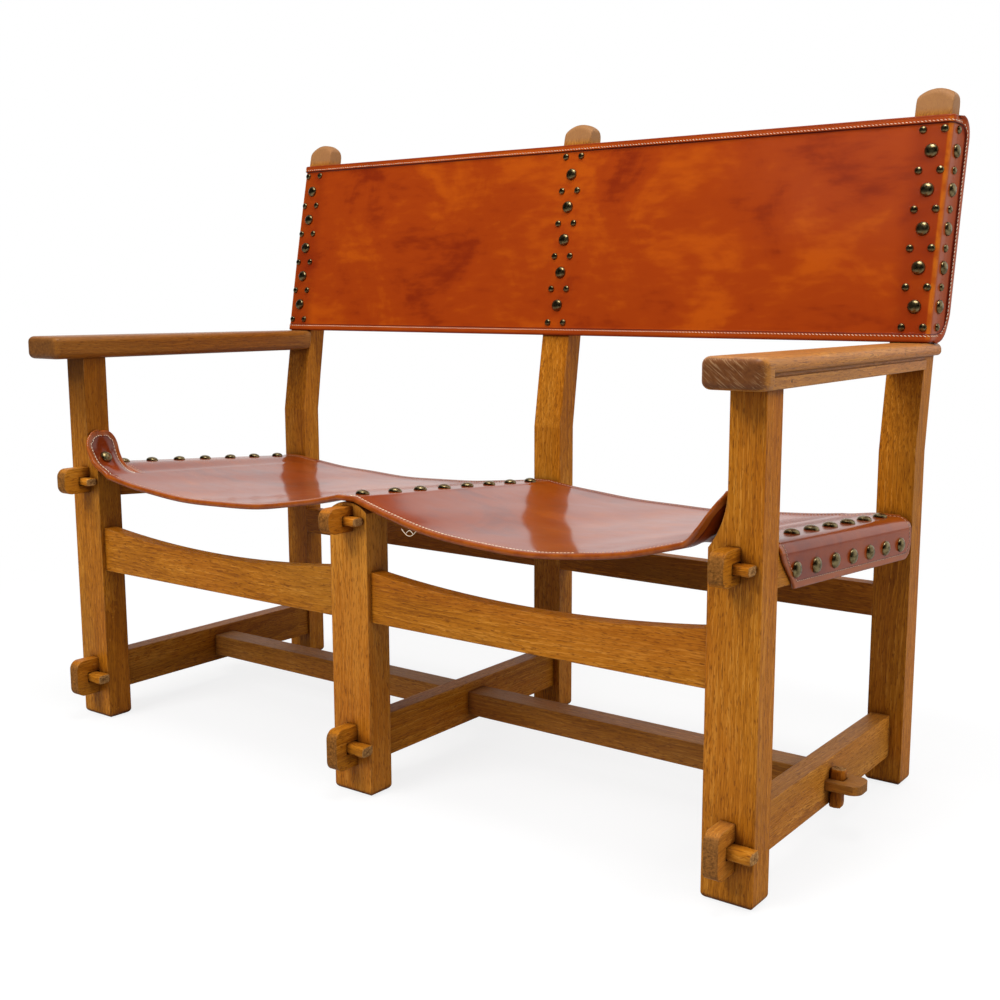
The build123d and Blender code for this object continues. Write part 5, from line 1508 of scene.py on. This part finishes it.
@dataclass
class Room:
    """Floor, lamps, world and camera."""

    camera_place: Point = (1.16433, -1.46065, 0.65915)
    yaw: float = 35.47
    pitch: float = 8.85
    roll: float = 0.10
    lens: float = 46.08
    shift: float = -0.04
    floor_reach: float = 12.0
    floor_white: float = 0.82
    aim_z: float = 0.45

    def make(self) -> None:
        """Builds the room."""
        self.make_floor()
        self.make_world()
        self.make_lamp("key", (-0.7, -3.1, 3.1), 1.6, 112.0, False)
        self.make_lamp("right", (3.2, 0.1, 1.9), 1.6, 46.0, False)
        self.make_lamp("top", (0.5, -0.4, 3.2), 1.2, 42.0, True)
        self.make_lamp("rear", (0.4, 3.4, 2.4), 1.8, 26.0, False)
        self.make_camera()

    def place(self, name: str, data: Any) -> Piece:
        """Makes an object.

        Args:
            name: Its name.
            data: A mesh, a lamp or a camera.

        Returns:
            The object.
        """
        made = bpy.data.objects.new(name, data)
        bpy.context.scene.collection.objects.link(made)
        return made

    def make_floor(self) -> None:
        """A wide pale floor that shows white to the camera and keeps its shadow.

        To the eye it is nearly all white light and the rest lit grey, and the light's share
        grows to the whole between the two reaches.
        """
        far = self.floor_reach
        mesh = bpy.data.meshes.new("floor")
        mesh.from_pydata([(-far, -far, 0), (far, -far, 0), (far, far, 0), (-far, far, 0)], [], [(0, 1, 2, 3)])
        s = Shader("pale floor")
        seen = s.node("LightPath").outputs["Is Camera Ray"]
        colour = s.layered((0.42, 0.42, 0.42), (seen, (0.92, 0.92, 0.92)))
        mesh.materials.append(s.coat(colour, 0.9, Specular_IOR_Level=0.0))
        white = s.node("Emission", {0: (1.0, 1.0, 1.0), 1: 1.0}).outputs[0]
        share = s.times(seen, s.step(s.vector("LENGTH", s.coordinates), 0.75, 1.9, self.floor_white, 1.0))
        shown = s.node("MixShader", {0: share, 1: s.surface.outputs[0], 2: white}).outputs[0]
        s.fill(s.tree.nodes["Material Output"], {"Surface": shown})
        self.place("floor", mesh)

    def make_world(self) -> None:
        """A white surround for the eye; reflections find it behind and above, and dim in front."""
        world = bpy.data.worlds.new("studio")
        world.use_nodes = True
        t = Tree(world.node_tree)
        way = t.places["Generated"]
        behind = t.step(t.part(way, "y"), -0.15, 0.45)
        above = t.step(t.part(way, "z"), 0.80, 0.97)
        mirrored = t.slope(t.math("MAXIMUM", behind, above), 0.95, 0.015)
        lighting = t.step(t.part(way, "z"), 0.0, 0.9, 0.22, 0.62)
        path = t.node("LightPath").outputs
        dim, bright = (t.node("CombineXYZ", {0: share}).outputs[0] for share in (lighting, mirrored))
        dim = t.part(t.layered(dim, (path["Is Glossy Ray"], bright)), "x")
        strength = t.math("MAXIMUM", path["Is Camera Ray"], dim)
        t.fill(world.node_tree.nodes["Background"], {0: (1.0, 1.0, 1.0), 1: strength})
        bpy.context.scene.world = world

    def make_lamp(self, name: str, place: Point, size: float, watts: float, mirrored: bool) -> None:
        """A soft square lamp that looks at the middle of the settle.

        Args:
            name: Name of the lamp.
            place: Where it hangs.
            size: Length of its side.
            watts: Its power.
            mirrored: Whether it shows in reflections.
        """
        data = bpy.data.lights.new(name, "AREA")
        data.size = size
        data.energy = watts
        lamp = self.place(name, data)
        lamp.visible_glossy = mirrored
        lamp.location = place
        aim = Vector((0, 0, self.aim_z)) - lamp.location
        lamp.rotation_euler = aim.to_track_quat("-Z", "Y").to_euler()

    def make_camera(self) -> None:
        """The camera at the picture's viewpoint."""
        data = bpy.data.cameras.new("camera")
        data.sensor_width = 36.0
        data.lens = self.lens
        data.shift_x = self.shift
        data.clip_start = 0.05
        yaw, pitch, roll = (math.radians(angle) for angle in (self.yaw, self.pitch, self.roll))
        level = math.cos(pitch)
        forward = np.array([-math.sin(yaw) * level, math.cos(yaw) * level, -math.sin(pitch)])
        right = np.array([math.cos(yaw), math.sin(yaw), 0.0])
        up = np.cross(right, forward)
        right, up = right * math.cos(roll) + up * math.sin(roll), up * math.cos(roll) - right * math.sin(roll)
        matrix = np.eye(4)
        matrix[:3] = np.stack([right, up, -forward, self.camera_place], axis=1)
        camera = self.place("camera", data)
        camera.matrix_world = Matrix(matrix.tolist())
        bpy.context.scene.camera = camera


@dataclass
class WornWedge:
    """One loose wedge, whittled and worn: a tapered bar with soft corners and ragged ends."""

    name: str
    seed: int
    taper: float = 0.20
    squareness: float = 0.50
    end_round: float = 0.0035
    ragged: float = 0.0011

    def make(self, material: Material) -> Piece:
        """Makes the wedge inside the box of its node.

        A section is a squared ellipse: its two half sizes times the cosine and the sine, each
        raised to the squareness. It shrinks over the last few millimetres of both ends, and the
        ends are pushed inwards by chance.

        Args:
            material: The wedge's finish.

        Returns:
            The wedge.
        """
        low, high = (np.array(corner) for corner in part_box(self.name))
        upright = self.name.startswith("wedge_long")
        run, taper_axis = (2, 0) if upright else (0, 1)
        third = 3 - run - taper_axis
        length = high[run] - low[run]
        inner = np.linspace(0, 1, 22)
        close = self.end_round / length * np.array([0.0, 0.0, 0.0, 0.0, 0.12, 0.4, 0.75])
        share = np.concatenate([close, close[-1] * 1.4 + (1 - 2.8 * close[-1]) * inner, (1 - close)[::-1]])
        cap = np.array([0.02, 0.35, 0.62, 0.80, 0.89, 0.96, 0.99])
        angle = np.arange(32) * math.pi / 16
        along = share[:, None] + 0 * angle
        wobble = 1 - 0.03 * (1 + np.sin(7 * along + angle * 2 + self.seed))
        wobble = wobble - 0.02 * (1 + np.sin(23 * along + 3 * angle))
        size = np.concatenate([cap, np.ones(len(inner)), cap[::-1]])[:, None] * wobble
        circle = (np.cos(angle), np.sin(angle))
        u, v = (np.sign(part) * np.abs(part) ** self.squareness * size for part in circle)
        depth = (high - low)[taper_axis] * (1 - self.taper * (1 - along))
        flat_low = upright and low[0] > 0
        points = np.zeros((*along.shape, 3))
        points[..., run] = low[run] + length * along
        points[..., third] = (low[third] + high[third]) / 2 + (high - low)[third] / 2 * v
        flat, inwards = (low[taper_axis], 1) if flat_low else (high[taper_axis], -1)
        points[..., taper_axis] = flat + inwards * depth / 2 * (1 + u)
        near = np.minimum(along, 1 - along) * length
        chance = np.random.default_rng(self.seed).random(along.shape)
        rough = self.ragged * chance * smooth(near, self.end_round, 0.0)
        points[..., run] += np.where(along < 0.5, rough, -rough)
        faces = tube_faces(len(share), len(angle))
        return add_piece("worn_" + self.name, points.reshape(-1, 3), faces, material)


TONES = {
    "rear_rail_left": 1.5,
    "rear_rail_right": 1.5,
    "front_post_centre": -1.3,
    "rear_post_centre": -0.5,
    "front_post_left": 0.35,
    "arm_left": 0.7,
}
WORN = {"arm_left": 0.20, "arm_right": 0.40, "long_stretcher": 0.5, "side_stretcher_right": 0.2}
# Painted shade on the upper left front post, under the left arm; the whole left arm darker.
DARKER_ABOVE = {"front_post_left": (0.38, 0.50, 0.60), "arm_left": (0.0, 0.1, 0.55)}


class OakFrame:
    """The wooden pieces of the frame, the grain in each, how each one has aged and where shade is painted on
    it.
    """

    def grain(self, node: str) -> Axis:
        """Which way a piece's grain runs.

        Args:
            node: The piece.

        Returns:
            The grain's axis.
        """
        if "post" in node or node.startswith("wedge_long"):
            return Axis.UPRIGHT
        return Axis.DEEP if node.startswith(("arm_", "seat_rail", "side_stretcher")) else Axis.ACROSS

    def finish(self, node: str, seed: int) -> OakFinish:
        """The finish of one piece: pale raw wedges, waxed arms, posts bleached at the top.

        Args:
            node: The piece.
            seed: Seed of its timber.

        Returns:
            The finish.
        """
        # These settings also carry the painted shade on the upper left front post.
        aged = {"stain_and_shade": DARKER_ABOVE[node]} if node in DARKER_ABOVE else {}
        if node.startswith("wedge"):
            aged["end"] = (0.38, 0.20, 0.070)
        elif node.startswith("rear_post"):
            aged = {"stain_and_shade": (0.900, 0.915, 0.85), "stain_and_shade_colour": (0.300, 0.145, 0.060)}
        elif node.startswith("arm_"):
            aged |= {"gloss": 0.25, "scratched": node == "arm_right"}
        name = "oak " + node.replace("_", " ")
        return OakFinish(name, self.grain(node), seed, TONES.get(node, 0.0), WORN.get(node, 0.0), **aged)

    def dress(self) -> None:
        """Gives every wooden node an oak finish of its own, and each wedge its worn shape."""
        for seed, node in enumerate(sorted(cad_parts)):
            if "nails" in node or "leather" in node or node.startswith("arm_pin"):
                continue
            oak = self.finish(node, seed).make()
            if node.startswith("wedge"):
                stand_for(WornWedge(node, seed).make(oak), node, "wedge_oak", node)
            else:
                dress_node(node, oak)


SEAT_FINISH = LeatherFinish(
    "seat leather",
    seed=4,
    pale=(0.290, 0.052, 0.002),
    body=(0.225, 0.032, 0.001),
    deep=(0.150, 0.017, 0.001),
    burnish=(0.310, 0.070, 0.005),
    groove=0.0085,
    groove_from=0.500,
    gloss=0.62,
    roughness=0.45,
    coat_roughness=0.14,
)
BACK_FINISH = LeatherFinish(
    "back leather",
    seed=9,
    pale=(0.410, 0.066, 0.001),
    body=(0.310, 0.037, 0.001),
    deep=(0.205, 0.018, 0.001),
    burnish=(0.210, 0.026, 0.001),
    hem=(0.360, 0.062, 0.004),
    fold=(0.440, 0.105, 0.005),
    gloss=0.30,
    roughness=0.5,
    coat_roughness=0.16,
)
TANNED_THREAD = PlainFinish("tanned thread", (0.60, 0.36, 0.22), (0.46, 0.24, 0.13))
CREAM_THREAD = PlainFinish("cream thread", (0.88, 0.76, 0.58), (0.74, 0.58, 0.40))
BLACKENED_PIN = PlainFinish("blackened pin", (0.045, 0.032, 0.022), (0.09, 0.06, 0.04), 800.0, 0.55, 0.8)


def dress_node(name: str, material: Material) -> None:
    """Puts one material in every slot of a frame node.

    Args:
        name: The node.
        material: Its finish.
    """
    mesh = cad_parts[name].data
    if not mesh.materials:
        mesh.materials.append(material)
    for index in range(len(mesh.materials)):
        mesh.materials[index] = material
    log.info("%s on %s", material.name, name)


def stand_for(piece: Piece, body: str, slot: str, *nodes: str) -> None:
    """Lets a piece ride on a body and stand for some nodes.

    Args:
        piece: The piece.
        body: The body that it rides on.
        slot: The slot of its finish, not used.
        nodes: The nodes that it takes the place of.
    """
    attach(piece, body)
    if nodes:
        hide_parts(*nodes)
    log.info("%s rides on %s and stands for %s", piece.name, body, ", ".join(nodes) or "nothing")


def main() -> None:
    """Builds the room, then dresses the settle piece by piece."""
    logging.basicConfig(level=logging.INFO, format="%(name)s: %(message)s")
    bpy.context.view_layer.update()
    bpy.context.scene.view_settings.view_transform = "Standard"
    Room().make()
    OakFrame().dress()
    cream, thread = CREAM_THREAD.make(), TANNED_THREAD.make()
    seat, back = SeatLeather(), BackLeather()
    seat_sheet, front_thread, seat_thread = seat.make(SEAT_FINISH.make(), cream, thread)
    back_sheet, back_thread = back.make(BACK_FINISH.make(), cream)
    for slot, sheet, *threads in (
        ("seat_leather", seat_sheet, seat_thread, front_thread),
        ("back_leather", back_sheet, back_thread),
    ):
        stand_for(sheet, "frame", slot, slot)
        for rows in threads:
            stand_for(rows, "frame", slot)
    for node, piece in DomedNails(seat, back).make(BronzeFinish().make()).items():
        stand_for(piece, "frame", "nail_bronze", node)
    pin = BLACKENED_PIN.make()
    for side in ("left", "right"):
        dress_node("arm_pin_" + side, pin)


if __name__ == "__main__":
    main()
